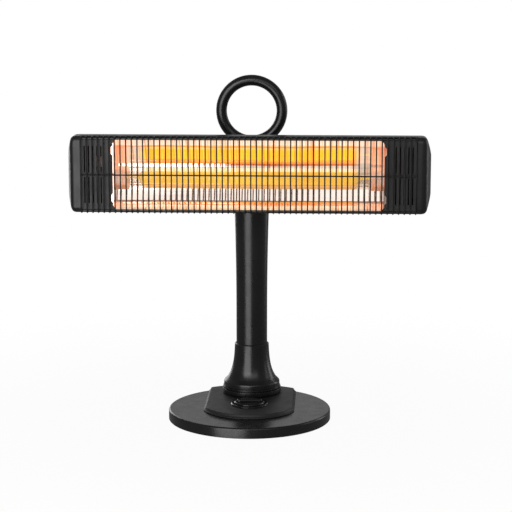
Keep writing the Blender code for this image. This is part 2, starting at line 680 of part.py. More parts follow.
def make_column_skirt(column, gloss):
    lip = SKIRT_TOP_Z - 0.0012
    shoulder_centre = (SKIRT_FOOT_RADIUS - SKIRT_SHOULDER_RADIUS, SKIRT_SHOULDER_Z)
    outer = [(skirt_radius(z), z) for z in levels(lip, SKIRT_FLARE_END_Z, 6)]
    outer += arc(shoulder_centre, SKIRT_SHOULDER_RADIUS, 45, 0, 3)
    outer += [(SKIRT_FOOT_RADIUS, SKIRT_Z)]
    tube_fit = COLUMN_RADIUS + FIT_GAP
    inner = [(SKIRT_FOOT_RADIUS - SKIRT_WALL, SKIRT_Z)]
    inner += [(SKIRT_FOOT_RADIUS - SKIRT_WALL, SKIRT_SHOULDER_Z)]
    for z in levels(SKIRT_FLARE_END_Z - 0.001, lip, 3):
        inner.append((max(skirt_radius(z) - SKIRT_WALL, tube_fit), z))
    inner += [(tube_fit, SKIRT_TOP_Z), (tube_fit + 0.0008, SKIRT_TOP_Z)]
    add_piece("column_skirt", turned(outer + inner), gloss, column)


def make_column_tube(column, gloss):
    heights = [COLUMN_Z] + levels(COLUMN_FLARE_START_Z, COLUMN_FLARE_END_Z, 4) + [COLUMN_TOP_Z]
    outer = [(column_radius(z), z) for z in reversed(heights)]
    inner = [(column_radius(z) - COLUMN_WALL, z) for z in heights]
    tube = add_piece("column_tube", turned(outer + inner), gloss, column)
    hole = SCREW_RADIUS + BORE_GAP
    for z in bracket_screw_heights():
        cut(tube, rod((0, 0, z), (0, -COLUMN_HEAD_RADIUS - 0.01, z), hole, 16))
    cut(tube, rod((0, 0, RING_SCREW_Z), (0, COLUMN_HEAD_RADIUS + 0.01, RING_SCREW_Z), hole, 16))


def make_column_cap(column, gloss):
    bore = STEM_RADIUS + FIT_GAP
    plug = COLUMN_HEAD_RADIUS - COLUMN_WALL - FIT_GAP
    seat = COLUMN_TOP_Z + FIT_GAP
    outline = [
        (bore, COLUMN_TOP_Z - CAP_PLUG_DEPTH),
        (plug, COLUMN_TOP_Z - CAP_PLUG_DEPTH),
        (plug, seat),
        (COLUMN_HEAD_RADIUS, seat),
        (COLUMN_HEAD_RADIUS, seat + CAP_RISE * 0.25),
        (COLUMN_HEAD_RADIUS - 0.0018, seat + CAP_RISE * 0.58),
        (COLUMN_HEAD_RADIUS - 0.0060, seat + CAP_RISE * 0.84),
        (bore, seat + CAP_RISE),
    ]
    cap = add_piece("column_cap", turned(outline), gloss, column)
    cut(cap, ring_shape(FIT_GAP))
    hole = SCREW_RADIUS + BORE_GAP
    cut(cap, rod((0, 0.005, RING_SCREW_Z), (0, COLUMN_HEAD_RADIUS + 0.01, RING_SCREW_Z), hole, 16))


def ring_shape(allowance=0.0):
    """The upright ring, grown all round by an allowance."""
    outline = arc((RING_RADIUS, 0.0), RING_TUBE_RADIUS + allowance, 0, 324, 9)
    ring = turned(outline, 40)
    upright = Matrix.Translation((0, 0, RING_CENTRE_Z)) @ Matrix.Rotation(math.pi / 2, 4, "X")
    bmesh.ops.transform(ring, matrix=upright, verts=ring.verts)
    return ring


def make_carry_ring(column, gloss):
    carry_ring = add_piece("carry_ring", ring_shape(), gloss, column)
    ring_foot = RING_CENTRE_Z - RING_RADIUS
    low = COLUMN_TOP_Z - CAP_PLUG_DEPTH
    stem = [
        (0.0, low),
        (STEM_RADIUS, low),
        (STEM_RADIUS, COLUMN_TOP_Z + CAP_RISE + 0.001),
        (RING_TUBE_RADIUS + 0.0005, ring_foot + 0.004),
        (0.0, ring_foot + 0.004),
    ]
    join(carry_ring, turned(stem, 24))
    depth = STEM_RADIUS - 0.0085
    hole = SCREW_RADIUS + BORE_GAP
    cut(carry_ring, rod((0, depth, RING_SCREW_Z), (0, 0.05, RING_SCREW_Z), hole, 16))


def make_column_fittings(column, steel, cable):
    seat = COLUMN_HEAD_RADIUS + FIT_GAP
    tip = STEM_RADIUS - 0.0080
    screw = screw_shape((0, seat, RING_SCREW_Z), (0, tip, RING_SCREW_Z))
    add_piece("ring_screw", screw, steel, column)
    for index, z in enumerate(bracket_screw_heights()):
        head = (0, BRACKET_FRONT_Y - FIT_GAP, z)
        tip = (0, -COLUMN_HEAD_RADIUS + 0.010, z)
        add_piece(f"bracket_screw_{index + 1}", screw_shape(head, tip), steel, column)
    lead = rod((0, 0, INSIDE_FLOOR_Z + 0.001), (0, 0, HEAD_Z), LEAD_RADIUS, 12)
    add_piece("column_lead", lead, cable, column)


# --- Tilt joint -------------------------------------------------------------------------------
def bracket_screw_heights():
    return [HEAD_Z - BRACKET_SCREW_OFFSET, HEAD_Z + BRACKET_SCREW_OFFSET]


def ear_outline(rear_y):
    """Side view of a hinge ear: round about the pivot and straight back to the bracket."""
    pivot_y = TILT_Y - COLUMN_Y
    round_end = arc((pivot_y, HEAD_Z), KNUCKLE_RADIUS, 90, 270, 10)
    return round_end + [(rear_y, HEAD_Z - KNUCKLE_RADIUS), (rear_y, HEAD_Z + KNUCKLE_RADIUS)]


def make_tilt_bracket(column, gloss):
    back = BRACKET_FRONT_Y + 0.0110
    low = (-EAR_OUTER_X, BRACKET_FRONT_Y, HEAD_Z - BRACKET_HALF_HEIGHT)
    high = (EAR_OUTER_X, back, HEAD_Z + BRACKET_HALF_HEIGHT)
    bracket = add_piece("tilt_bracket", box(low, high), gloss, column)
    for side in (-1, 1):
        start, end = sorted((side * EAR_INNER_X, side * EAR_OUTER_X))
        join(bracket, prism(ear_outline(BRACKET_FRONT_Y + 0.003), start, end, "X"))
    saddle = COLUMN_HEAD_RADIUS + FIT_GAP
    cut(bracket, rod((0, 0, HEAD_Z - 0.05), (0, 0, HEAD_Z + 0.05), saddle, 40))
    pivot_y = TILT_Y - COLUMN_Y
    hole = BOLT_RADIUS + BORE_GAP
    cut(bracket, rod((-0.05, pivot_y, HEAD_Z), (0.05, pivot_y, HEAD_Z), hole, 16))
    for z in bracket_screw_heights():
        cut(bracket, rod((0, -0.01, z), (0, -0.05, z), SCREW_RADIUS + BORE_GAP, 16))


def make_tilt_fittings(column, knob_axis, steel, gloss):
    pivot_y = TILT_Y - COLUMN_Y
    hole = BOLT_RADIUS + BORE_GAP
    for name, side in (("tilt_washer_left", -1), ("tilt_washer_right", 1)):
        inner = side * (KNUCKLE_HALF_WIDTH + FIT_GAP)
        outer = side * (KNUCKLE_HALF_WIDTH + FIT_GAP + WASHER_THICKNESS)
        rim = KNUCKLE_RADIUS - 0.0005
        outline = [(hole, 0.0), (rim, 0.0), (rim, WASHER_THICKNESS), (hole, WASHER_THICKNESS)]
        washer = turned(outline, 24)
        along_x = Matrix.Translation((min(inner, outer), pivot_y, HEAD_Z)) @ Matrix.Rotation(
            math.pi / 2, 4, "Y"
        )
        bmesh.ops.transform(washer, matrix=along_x, verts=washer.verts)
        add_piece(name, washer, steel, column)

    head_x = EAR_OUTER_X + FIT_GAP
    thread_end = head_x + TILT_KNOB_LENGTH - 0.0035
    bolt = add_piece(
        "tilt_bolt",
        rod((-head_x - 0.001, pivot_y, HEAD_Z), (thread_end, pivot_y, HEAD_Z), BOLT_RADIUS, 16),
        steel,
        column,
    )
    head = rod((-head_x - 0.0035, pivot_y, HEAD_Z), (-head_x, pivot_y, HEAD_Z), 0.0055, 6)
    join(bolt, head)

    knob = prism(knob_outline(), head_x, head_x + TILT_KNOB_LENGTH, "X")
    tilt_knob = add_piece("tilt_knob", knob, gloss, knob_axis)
    cut(tilt_knob, rod((0, 0, 0), (thread_end + 0.001, 0, 0), hole, 16))


def knob_outline():
    """Six soft lobes for the fingers."""
    points = []
    for index in range(36):
        angle = 2 * math.pi * index / 36
        reach = TILT_KNOB_RADIUS * (0.93 + 0.07 * math.cos(6 * angle))
        points.append((reach * math.cos(angle), reach * math.sin(angle)))
    return points


def make_head_arm(head, head_offset, gloss):
    low = (-ARM_HALF_WIDTH, ARM_Y, -ARM_HALF_HEIGHT)
    high = (ARM_HALF_WIDTH, ARM_Y + ARM_THICKNESS, ARM_HALF_HEIGHT)
    arm = add_piece("head_arm", box(low, high), gloss, head, head_offset)
    pivot_y = TILT_Y - HEAD_Y
    width = KNUCKLE_HALF_WIDTH
    join(arm, box((-width, ARM_Y + 0.001, -0.006), (width, pivot_y, 0.006)), head_offset)
    join(arm, rod((-width, pivot_y, 0), (width, pivot_y, 0), KNUCKLE_RADIUS, 24), head_offset)
    cut(arm, rod((-0.05, pivot_y, 0), (0.05, pivot_y, 0), BOLT_RADIUS + BORE_GAP, 16), head_offset)
    for x, z in arm_screw_places():
        cut(arm, rod((x, 0, z), (x, 0.05, z), SCREW_RADIUS + BORE_GAP, 16), head_offset)


def arm_screw_places():
    return [(x, z) for x in (-ARM_SCREW_X, ARM_SCREW_X) for z in (-ARM_SCREW_Z, ARM_SCREW_Z)]


# --- Lamp head --------------------------------------------------------------------------------
def make_rear_shell(head, head_offset, gloss):
    corner_y = HALF_DEPTH - HEAD_CORNER
    corner_z = HALF_HEIGHT - HEAD_CORNER
    outer = [(-HALF_DEPTH, LEDGE_Z), (LEDGE_Y, LEDGE_Z), (LEDGE_Y, HALF_HEIGHT)]
    outer += arc((corner_y, corner_z), HEAD_CORNER, 90, 0, 6)
    inner_step = LEDGE_Y + SHELL_WALL
    inner = arc((corner_y, corner_z), HEAD_CORNER - SHELL_WALL, 0, 90, 6)
    inner += [(inner_step, HALF_HEIGHT - SHELL_WALL), (inner_step, OPENING_HALF_HEIGHT)]
    inner += [(-HALF_DEPTH, OPENING_HALF_HEIGHT)]
    outline = mirrored(outer)
    outline += [(y, -z) for y, z in reversed(inner)]
    outline += inner
    length = SHELL_HALF_LENGTH
    shell = add_piece("rear_shell", prism(outline, -length, length, "X"), gloss, head, head_offset)
    for x, z in arm_screw_places():
        cut(shell, rod((x, 0.01, z), (x, 0.05, z), SCREW_RADIUS + BORE_GAP, 16), head_offset)
    for index, (x, z) in enumerate(arm_screw_places()):
        seat = (x, ARM_Y + ARM_THICKNESS + FIT_GAP, z)
        tip = (x, HALF_DEPTH - SHELL_WALL - 0.006, z)
        add_piece(f"arm_screw_{index + 1}", screw_shape(seat, tip), STEEL, head, head_offset)


def cap_section(x, inset):
    """Section of an end cap: the shell's section with a round front, shrunk by an inset."""
    half_z, half_y = HALF_HEIGHT - inset, HALF_DEPTH - inset
    front = CAP_FRONT_RADIUS * half_y / HALF_DEPTH
    rear = HEAD_CORNER * half_y / HALF_DEPTH
    points = arc((-half_y + front, half_z - front), front, 180, 90, 4)
    points += arc((half_y - rear, half_z - rear), rear, 90, 0, 6)
    return [(x, y, z) for y, z in mirrored(points)]


def make_end_cap(name, side, head, head_offset, gloss):
    inner_x = side * (HEAD_WIDTH / 2 - CAP_WIDTH)
    wall = 0.0022
    rounding = [(0.0, 0.0), (0.38, 0.0), (0.58, 0.0012), (0.71, 0.0045)]
    rounding += [(0.81, 0.0110), (0.92, 0.0190), (1.0, 0.0270)]
    loops = [cap_section(inner_x + side * 0.0130, wall + 0.003), cap_section(inner_x, wall)]
    loops += [cap_section(inner_x + side * CAP_WIDTH * part, inset) for part, inset in rounding]
    add_piece(name, loft(loops), gloss, head, head_offset)


def make_vent_panel(name, side, head, head_offset, plastic):
    near = WINDOW_HALF_WIDTH
    far = SHELL_HALF_LENGTH - FIT_GAP
    front = -HALF_DEPTH + PANEL_RECESS
    height = OPENING_HALF_HEIGHT - FIT_GAP
    notch = near + NOTCH_DEPTH
    inner_edge = [
        (near - GUSSET, height),
        (near, height - GUSSET * 1.4),
        (near, REFLECTOR_TAB_HIGH_Z),
        (notch, REFLECTOR_TAB_HIGH_Z - NOTCH_DEPTH),
        (notch, REFLECTOR_TAB_LOW_Z + NOTCH_DEPTH),
        (near, REFLECTOR_TAB_LOW_Z),
    ]
    outline = [(side * x, z) for x, z in [(far, height), *inner_edge]]
    outline += [(x, -z) for x, z in reversed(outline)]
    plate = prism(outline, front, front + PANEL_THICKNESS, "Y")
    panel = add_piece(name, plate, plastic, head, head_offset)
    for column in range(SLOTS_PER_ROW):
        x = side * (WINDOW_HALF_WIDTH + SLOT_INSET + column * SLOT_PITCH)
        for row in (-1, 1):
            low_z, high_z = sorted((row * SLOT_INNER_Z, row * SLOT_OUTER_Z))
            low = (x - SLOT_WIDTH / 2, front - 0.01, low_z)
            high = (x + SLOT_WIDTH / 2, front + 0.01, high_z)
            cut(panel, box(low, high), head_offset)


def reflector_path():
    """Section of the reflector from its top front edge to its bottom front edge."""
    return [
        (REFLECTOR_FRONT_Y, REFLECTOR_FRONT_Z),
        (REFLECTOR_FOLD_Y, REFLECTOR_FOLD_Z),
        (REFLECTOR_BACK_Y, REFLECTOR_BACK_Z),
        (REFLECTOR_BACK_Y, -REFLECTOR_BACK_Z),
        (REFLECTOR_LOWER_Y, REFLECTOR_LOWER_DROP - OPENING_HALF_HEIGHT),
        (REFLECTOR_TURN_Y, REFLECTOR_TURN_DROP - OPENING_HALF_HEIGHT),
        (REFLECTOR_FRONT_Y, -REFLECTOR_FRONT_Z),
    ]


def offset_path(path, distance):
    """The path moved sideways by a distance, with mitred corners; left of its direction is plus."""
    moved = []
    for index, point in enumerate(path):
        here = Vector(point)
        before = (here - Vector(path[index - 1])).normalized() if index else None
        after = (Vector(path[index + 1]) - here).normalized() if index + 1 < len(path) else None
        before, after = before or after, after or before
        normal = (Vector((-before.y, before.x)) + Vector((-after.y, after.x))).normalized()
        stretch = normal.dot(Vector((-after.y, after.x)))
        moved.append(tuple(here + normal * distance / stretch))
    return moved


def make_reflector(head, head_offset, mirror_metal):
    path = reflector_path()
    outline = path + list(reversed(offset_path(path, REFLECTOR_SHEET)))
    plate_x = WINDOW_HALF_WIDTH - FIT_GAP
    length = plate_x - REFLECTOR_SHEET - FIT_GAP
    sheet = prism(outline, -length, length, "X")
    add_piece("reflector", sheet, mirror_metal, head, head_offset)
    for name, side in (("reflector_end_left", -1), ("reflector_end_right", 1)):
        start, end = sorted((side * plate_x, side * (plate_x - REFLECTOR_SHEET)))
        plate = add_piece(name, prism(path, start, end, "X"), mirror_metal, head, head_offset)
        tab_end = side * (plate_x + REFLECTOR_TAB_WIDTH)
        for row in (-1, 1):
            low_x, high_x = sorted((side * (plate_x - REFLECTOR_SHEET), tab_end))
            low_z, high_z = sorted((row * REFLECTOR_TAB_LOW_Z, row * REFLECTOR_TAB_HIGH_Z))
            low = (low_x, REFLECTOR_FRONT_Y, low_z)
            high = (high_x, REFLECTOR_FRONT_Y + REFLECTOR_SHEET, high_z)
            join(plate, box(low, high), head_offset)
        lamp_start = (side * (plate_x - 0.01), LAMP_Y, LAMP_Z)
        lamp_end = (side * (plate_x + 0.01), LAMP_Y, LAMP_Z)
        cut(plate, rod(lamp_start, lamp_end, SOCKET_RADIUS + BORE_GAP, 24), head_offset)


def make_lamp(head, head_offset, quartz, element, ceramic, steel):
    def along_x(bm, x, side=1):
        matrix = Matrix.Translation((x, LAMP_Y, LAMP_Z)) @ Matrix.Rotation(side * math.pi / 2, 4, "Y")
        bmesh.ops.transform(bm, matrix=matrix, verts=bm.verts)
        return bm

    bore = LAMP_RADIUS - LAMP_WALL
    half = LAMP_HALF_LENGTH
    tube = turned([(bore, -half), (LAMP_RADIUS, -half), (LAMP_RADIUS, half), (bore, half)], 24)
    add_piece("lamp_tube", along_x(tube, 0.0), quartz, head, head_offset)
    glow = ELEMENT_HALF_LENGTH
    outline = [(0.0, -half), (ELEMENT_LEAD_RADIUS, -half), (ELEMENT_LEAD_RADIUS, -glow)]
    outline += [(ELEMENT_RADIUS, -glow), (ELEMENT_RADIUS, glow), (ELEMENT_LEAD_RADIUS, glow)]
    outline += [(ELEMENT_LEAD_RADIUS, half), (0.0, half)]
    add_piece("lamp_element", along_x(turned(outline, 12), 0.0), element, head, head_offset)

    mouth = LAMP_HALF_LENGTH + FIT_GAP - SOCKET_DEPTH
    socket_bore = LAMP_RADIUS + BORE_GAP
    outline = [
        (0.0, SOCKET_DEPTH),
        (socket_bore, SOCKET_DEPTH),
        (socket_bore, 0.0),
        (SOCKET_RADIUS, 0.0),
        (SOCKET_RADIUS, SOCKET_LENGTH),
        (0.0, SOCKET_LENGTH),
    ]
    for word, side in (("left", -1), ("right", 1)):
        socket = along_x(turned(outline, 24), side * mouth, side)
        add_piece(f"lamp_socket_{word}", socket, ceramic, head, head_offset)
        low_x, high_x = sorted((side * HOLDER_X, side * (HOLDER_X + HOLDER_THICKNESS)))
        low = (low_x, LAMP_Y - 0.006, LAMP_Z - 0.016)
        high = (high_x, HALF_DEPTH - SHELL_WALL - FIT_GAP, LAMP_Z + 0.016)
        holder = add_piece(f"lamp_holder_{word}", box(low, high), steel, head, head_offset)
        reach = HOLDER_X + 0.02
        hole = rod((0, LAMP_Y, LAMP_Z), (side * reach, LAMP_Y, LAMP_Z), SOCKET_RADIUS + BORE_GAP, 24)
        cut(holder, hole, head_offset)


def make_head_fittings(head, head_offset, ceramic, steel, cable):
    back = HALF_DEPTH - SHELL_WALL - FIT_GAP
    block_x = -HOLDER_X - 0.0190
    low = (block_x - 0.010, back - 0.012, 0.006)
    high = (block_x + 0.010, back, 0.021)
    add_piece("terminal_block", box(low, high), ceramic, head, head_offset)
    disc_y = REFLECTOR_BACK_Y + REFLECTOR_SHEET + FIT_GAP
    disc = rod((0.060, disc_y, 0.0), (0.060, disc_y + 0.007, 0.0), 0.008, 20)
    add_piece("thermal_cutout", disc, steel, head, head_offset)
    lead_y = back - 0.004
    lead_z = 0.014
    start = (block_x + 0.010 + FIT_GAP, lead_y, lead_z)
    end = (HOLDER_X + 0.006, lead_y, lead_z)
    lead = rod(start, end, 0.0015, 10)
    add_piece("lamp_lead", lead, cable, head, head_offset)


def guard_stations():
    """Stations along one guard wire, from its top rear end to its bottom rear end, as
    (y, z, joined): a joined stretch is a rail that crosses all the wires."""
    leg_z = LEDGE_Z + FIT_GAP + WIRE_SIZE / 2
    face_y = -HALF_DEPTH - GUARD_STAND_OFF + WIRE_SIZE / 2
    end_y = face_y + GUARD_LEG_DEPTH + GUARD_STAND_OFF - WIRE_SIZE
    half = WIRE_SIZE / 2
    top = [(end_y, leg_z, True), (end_y - WIRE_SIZE, leg_z, False), (face_y, leg_z, False)]
    middle = [(face_y, half, True), (face_y, -half, False)]
    bottom = [(face_y, -leg_z, False), (end_y - WIRE_SIZE, -leg_z, True), (end_y, -leg_z, False)]
    return top + middle + bottom


def make_guard(head, head_offset, wire):
    stations = guard_stations()
    path = [(y, z) for y, z, _ in stations]
    outside = offset_path(path, -WIRE_SIZE / 2)
    inside = offset_path(path, WIRE_SIZE / 2)
    edges = []
    for index in range(GUARD_WIRES):
        middle = (index - (GUARD_WIRES - 1) / 2) * GUARD_PITCH
        edges += [middle - WIRE_SIZE / 2, middle + WIRE_SIZE / 2]
    bm = bmesh.new()
    grids = [[[bm.verts.new((x, y, z)) for x in edges] for y, z in side] for side in (outside, inside)]
    filled = set()
    for row, (_, _, joined) in enumerate(stations[:-1]):
        filled |= {(row, column) for column in range(len(edges) - 1) if joined or column % 2 == 0}
    for row, column in filled:
        for grid in grids:
            corners = (grid[row][column], grid[row][column + 1])
            corners += (grid[row + 1][column + 1], grid[row + 1][column])
            bm.faces.new(corners)
        sides = {
            (row - 1, column): ((row, column), (row, column + 1)),
            (row + 1, column): ((row + 1, column), (row + 1, column + 1)),
            (row, column - 1): ((row, column), (row + 1, column)),
            (row, column + 1): ((row, column + 1), (row + 1, column + 1)),
        }
        for neighbour, (first, second) in sides.items():
            if neighbour not in filled:
                ring = [grids[0][first[0]][first[1]], grids[0][second[0]][second[1]]]
                ring += [grids[1][second[0]][second[1]], grids[1][first[0]][first[1]]]
                bm.faces.new(ring)
    bmesh.ops.delete(bm, geom=[vert for vert in bm.verts if not vert.link_faces], context="VERTS")
    add_piece("guard", bm, wire, head, head_offset)


# --- Assembly ---------------------------------------------------------------------------------
clear_scene()
PAINT = make_material("satin_black_paint", (0.022, 0.022, 0.023), 0.36)
GLOSS = make_material("satin_black_plastic", (0.020, 0.020, 0.021), 0.34)
VENT = make_material("vent_panel_black", (0.030, 0.030, 0.031), 0.45)
RUBBER = make_material("rubber", (0.030, 0.030, 0.030), 0.85)
STEEL = make_material("zinc_steel", (0.55, 0.55, 0.56), 0.38, 1.0)
IRON = make_material("cast_iron", (0.10, 0.10, 0.10), 0.70, 1.0)
MIRROR = make_material("polished_aluminium", (0.88, 0.88, 0.88), 0.15, 1.0)
WIRE = make_material("guard_wire_black", (0.025, 0.024, 0.023), 0.40)
QUARTZ = make_material("quartz_glass", (0.95, 0.90, 0.82), 0.05)
ELEMENT = make_material("glowing_element", (1.0, 0.55, 0.12), 0.60, 0.0, 8.0)
CERAMIC = make_material("white_ceramic", (0.85, 0.83, 0.79), 0.50)
SWITCH = make_material("switch_plastic", (0.06, 0.06, 0.06), 0.50)
CABLE = make_material("cable_black", (0.02, 0.02, 0.02), 0.60)
RED = make_material("plunger_red", (0.55, 0.04, 0.03), 0.50)

base_frame = add_empty("base_frame", (0, 0, 0))
knob_axis = add_empty("knob_axis", (0, KNOB_Y, 0), base_frame)
plunger_axis = add_empty("plunger_axis", (TIP_SWITCH_X, TIP_SWITCH_Y, 0), base_frame)
foot_axis = add_empty("foot_axis", (0, COLUMN_Y, 0), base_frame)
column_axis = add_empty("column_axis", (0, COLUMN_Y, 0), base_frame)
tilt_knob_axis = add_empty("tilt_knob_axis", (0, TILT_Y, HEAD_Z), column_axis)
tilt_axis = add_empty("tilt_axis", (0, TILT_Y, HEAD_Z), column_axis)
HEAD_OFFSET = (0.0, HEAD_Y - TILT_Y, 0.0)

make_base_cover(base_frame, PAINT)
make_ballast(base_frame, IRON)
make_base_plate(base_frame, STEEL)
make_base_fittings(base_frame, RUBBER, STEEL, SWITCH)
make_control_housing(base_frame, GLOSS)
make_knob_bezel(base_frame, GLOSS)
make_switch_knob(knob_axis, GLOSS)
make_switches(base_frame, SWITCH, plunger_axis, RED)
make_swivel_foot(foot_axis, column_axis, GLOSS, STEEL, SWITCH)
make_column_skirt(column_axis, GLOSS)
make_column_tube(column_axis, GLOSS)
make_column_cap(column_axis, GLOSS)
make_carry_ring(column_axis, GLOSS)
make_column_fittings(column_axis, STEEL, CABLE)
make_tilt_bracket(column_axis, GLOSS)
make_tilt_fittings(column_axis, tilt_knob_axis, STEEL, GLOSS)
make_head_arm(tilt_axis, HEAD_OFFSET, GLOSS)
make_rear_shell(tilt_axis, HEAD_OFFSET, GLOSS)
make_end_cap("end_cap_left", -1, tilt_axis, HEAD_OFFSET, GLOSS)
make_end_cap("end_cap_right", 1, tilt_axis, HEAD_OFFSET, GLOSS)
make_vent_panel("vent_panel_left", -1, tilt_axis, HEAD_OFFSET, VENT)
make_vent_panel("vent_panel_right", 1, tilt_axis, HEAD_OFFSET, VENT)
make_reflector(tilt_axis, HEAD_OFFSET, MIRROR)
make_lamp(tilt_axis, HEAD_OFFSET, QUARTZ, ELEMENT, CERAMIC, STEEL)
make_head_fittings(tilt_axis, HEAD_OFFSET, CERAMIC, STEEL, CABLE)
make_guard(tilt_axis, HEAD_OFFSET, WIRE)
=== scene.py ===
"""Looks of the table-top infrared heater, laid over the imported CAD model.

Sizes are in metres, in the CAD model's frame: the origin is on the floor under the centre of the
base, +Z is up and the heater faces -Y.
"""

import math

import bmesh
import bpy
from mathutils import Matrix, Vector


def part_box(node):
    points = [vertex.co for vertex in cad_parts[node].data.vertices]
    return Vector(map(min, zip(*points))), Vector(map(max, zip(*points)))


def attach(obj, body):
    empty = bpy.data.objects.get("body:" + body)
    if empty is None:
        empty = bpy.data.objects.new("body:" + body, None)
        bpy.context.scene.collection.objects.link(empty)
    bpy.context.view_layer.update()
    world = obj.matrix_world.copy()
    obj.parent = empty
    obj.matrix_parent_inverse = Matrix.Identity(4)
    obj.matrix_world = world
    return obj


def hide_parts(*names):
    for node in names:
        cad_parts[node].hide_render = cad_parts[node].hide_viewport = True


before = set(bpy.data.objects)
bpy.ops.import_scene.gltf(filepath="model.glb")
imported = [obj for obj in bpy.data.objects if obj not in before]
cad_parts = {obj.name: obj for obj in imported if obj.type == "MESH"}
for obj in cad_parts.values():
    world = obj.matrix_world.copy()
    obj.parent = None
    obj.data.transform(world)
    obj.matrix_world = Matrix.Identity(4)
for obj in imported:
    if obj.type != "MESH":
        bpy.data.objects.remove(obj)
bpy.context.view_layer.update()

# --- Places, read from the CAD model where they can be --------------------------------------------
COVER_LOW, COVER_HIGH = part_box("base_cover")
BASE_R = COVER_HIGH.x
BASE_TOP = COVER_HIGH.z
HOUSING_LOW, HOUSING_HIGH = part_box("control_housing")
HOUSING_TOP = HOUSING_HIGH.z
BEZEL_LOW, BEZEL_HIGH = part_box("knob_bezel")
KNOB_LOW, KNOB_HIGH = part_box("switch_knob")
KNOB_Y = (BEZEL_LOW.y + BEZEL_HIGH.y) / 2
TUBE_LOW, TUBE_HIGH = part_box("column_tube")
COLUMN_Y = (TUBE_LOW.y + TUBE_HIGH.y) / 2
COLUMN_CENTRE = (0.0, COLUMN_Y, 0.0)
COLLAR_LOW, COLLAR_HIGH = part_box("foot_collar")
SWIVEL_LOW, SWIVEL_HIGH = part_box("swivel_ring")
SKIRT_LOW, SKIRT_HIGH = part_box("column_skirt")
CAP_LOW, CAP_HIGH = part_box("column_cap")
RING_LOW, RING_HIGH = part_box("carry_ring")
SHELL_LOW, SHELL_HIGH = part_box("rear_shell")
END_LOW, END_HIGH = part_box("end_cap_right")
PANEL_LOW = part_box("vent_panel_right")[0]
GUARD_LOW, GUARD_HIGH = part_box("guard")
LAMP_LOW, LAMP_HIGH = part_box("lamp_tube")
SOCKET_LOW, SOCKET_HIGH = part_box("lamp_socket_right")
MIRROR_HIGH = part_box("reflector")[1]

HEAD_Y = (SHELL_LOW.y + SHELL_HIGH.y) / 2
HEAD_Z = (SHELL_LOW.z + SHELL_HIGH.z) / 2
HALF_DEPTH = (SHELL_HIGH.y - SHELL_LOW.y) / 2
HALF_HEIGHT = (SHELL_HIGH.z - SHELL_LOW.z) / 2
LAMP_Y = (LAMP_LOW.y + LAMP_HIGH.y) / 2
LAMP_Z = (LAMP_LOW.z + LAMP_HIGH.z) / 2
LAMP_R = (LAMP_HIGH.z - LAMP_LOW.z) / 2

# --- Sizes that the boxes of the CAD nodes don't give ---------------------------------------------
COVER_WALL = 0.0022
COVER_EDGE = 0.003
POST_BORE = 0.0103
SHAFT_BORE = 0.0033
GLAND_BORE = 0.0055
SCREW_BORE = 0.0023
HOUSING_WALL = 0.0022
HOUSING_SLOPE = 0.0036
HOUSING_HALF_WIDTH = 0.0670
HOUSING_CORNER = 0.0080
HOUSING_FRONT_RADIUS = 0.0712
HOUSING_REAR_RADIUS = 0.1175
BEZEL_WIDTH = 0.0042
KNOB_GAP = 0.0008
GRIP_HALF_LENGTH = 0.0185
GRIP_HALF_WIDTH = 0.00425
GRIP_WAIST = 0.0007
GRIP_TURN = math.radians(6)
SEAM = 0.0008  # height of the dark gaps at the foot of the column
SEAM_RADIUS = 0.0415
COLLAR_BORE = 0.030
SKIRT_NECK_RADIUS = 0.0252
SKIRT_SPREAD = 0.0119
SKIRT_FADE = 0.0172
SKIRT_BELL_Z = 0.0455
SKIRT_WALL = 0.0025
COLUMN_RADIUS = 0.0233
COLUMN_HEAD_RADIUS = 0.0270
COLUMN_FLARE_Z = 0.15
COLUMN_HEAD_Z = 0.338
COLUMN_WALL = 0.0018
CAP_BORE = 0.0123
RING_RADIUS = 0.04505
RING_THICKNESS = 0.00805
HEAD_CORNER = 0.031
SHELL_WALL = 0.002
LEDGE_DEPTH = 0.011
LEDGE_DROP = 0.0024
GUSSET = 0.0045  # the slanted corner of the window that the lamp is seen through
WINDOW_X = PANEL_LOW.x + GUSSET
TAB_LOW_Z = 0.0275
TAB_HIGH_Z = 0.0415
SLOT_COLUMNS = 5
SLOT_PITCH = 0.006
SLOT_HALF_WIDTH = 0.001
REFLECTOR_SHEET = 0.0007
END_PLATE = 0.0008
LAMP_HOLE = 0.0115
LAMP_WALL = 0.0012
ELEMENT_RADIUS = 0.0055
ELEMENT_LEAD_RADIUS = 0.001
GUARD_WIRES = 60
WIRE_RADIUS = 0.00100
WIRE_BEND = 0.0035
# Half height of the band of painted lamp reflections on the reflector
PAINTED_BAND_HALF_HEIGHT = 0.050
SUPPORT = 0.003  # from an edge to the loop that keeps wear close to it


# --- Camera, floor and light ------------------------------------------------------------------
def aim(obj, location, target):
    obj.location = location
    obj.rotation_euler = (Vector(target) - Vector(location)).to_track_quat("-Z", "Y").to_euler()


CAMERA_PLACE = (0.12395, -2.55810, 0.69528)
CAMERA_TARGET = (0.00958, 0.0, 0.24469)
CAMERA_LENS = 124.57
FLOOR_RADIUS = 14.0
WORLD_GLOW = 0.17
FLOOR_GLOW_NEAR = 0.95
SOFTBOXES = (
    # name, place, aimed at, width, height, watts
    ("key", (-1.00, -2.20, 0.40), (0, 0, 0.25), 1.8, 2.4, 44),
    ("over", (0.0, -2.3, 1.55), (0, 0, 0.35), 3.4, 0.8, 11),
    ("back", (0.0, 3.4, 1.5), (0, 0, 0.1), 3.2, 1.6, 7),
    ("rear_left", (-1.3, 2.5, 0.7), (0, 0, 0.3), 1.0, 1.8, 12),
    ("rear_right", (2.3, 1.5, 0.7), (0, 0, 0.3), 0.8, 1.8, 8),
    ("side", (2.7, 0.2, 0.9), (0, 0, 0.3), 0.4, 1.6, 3),
)


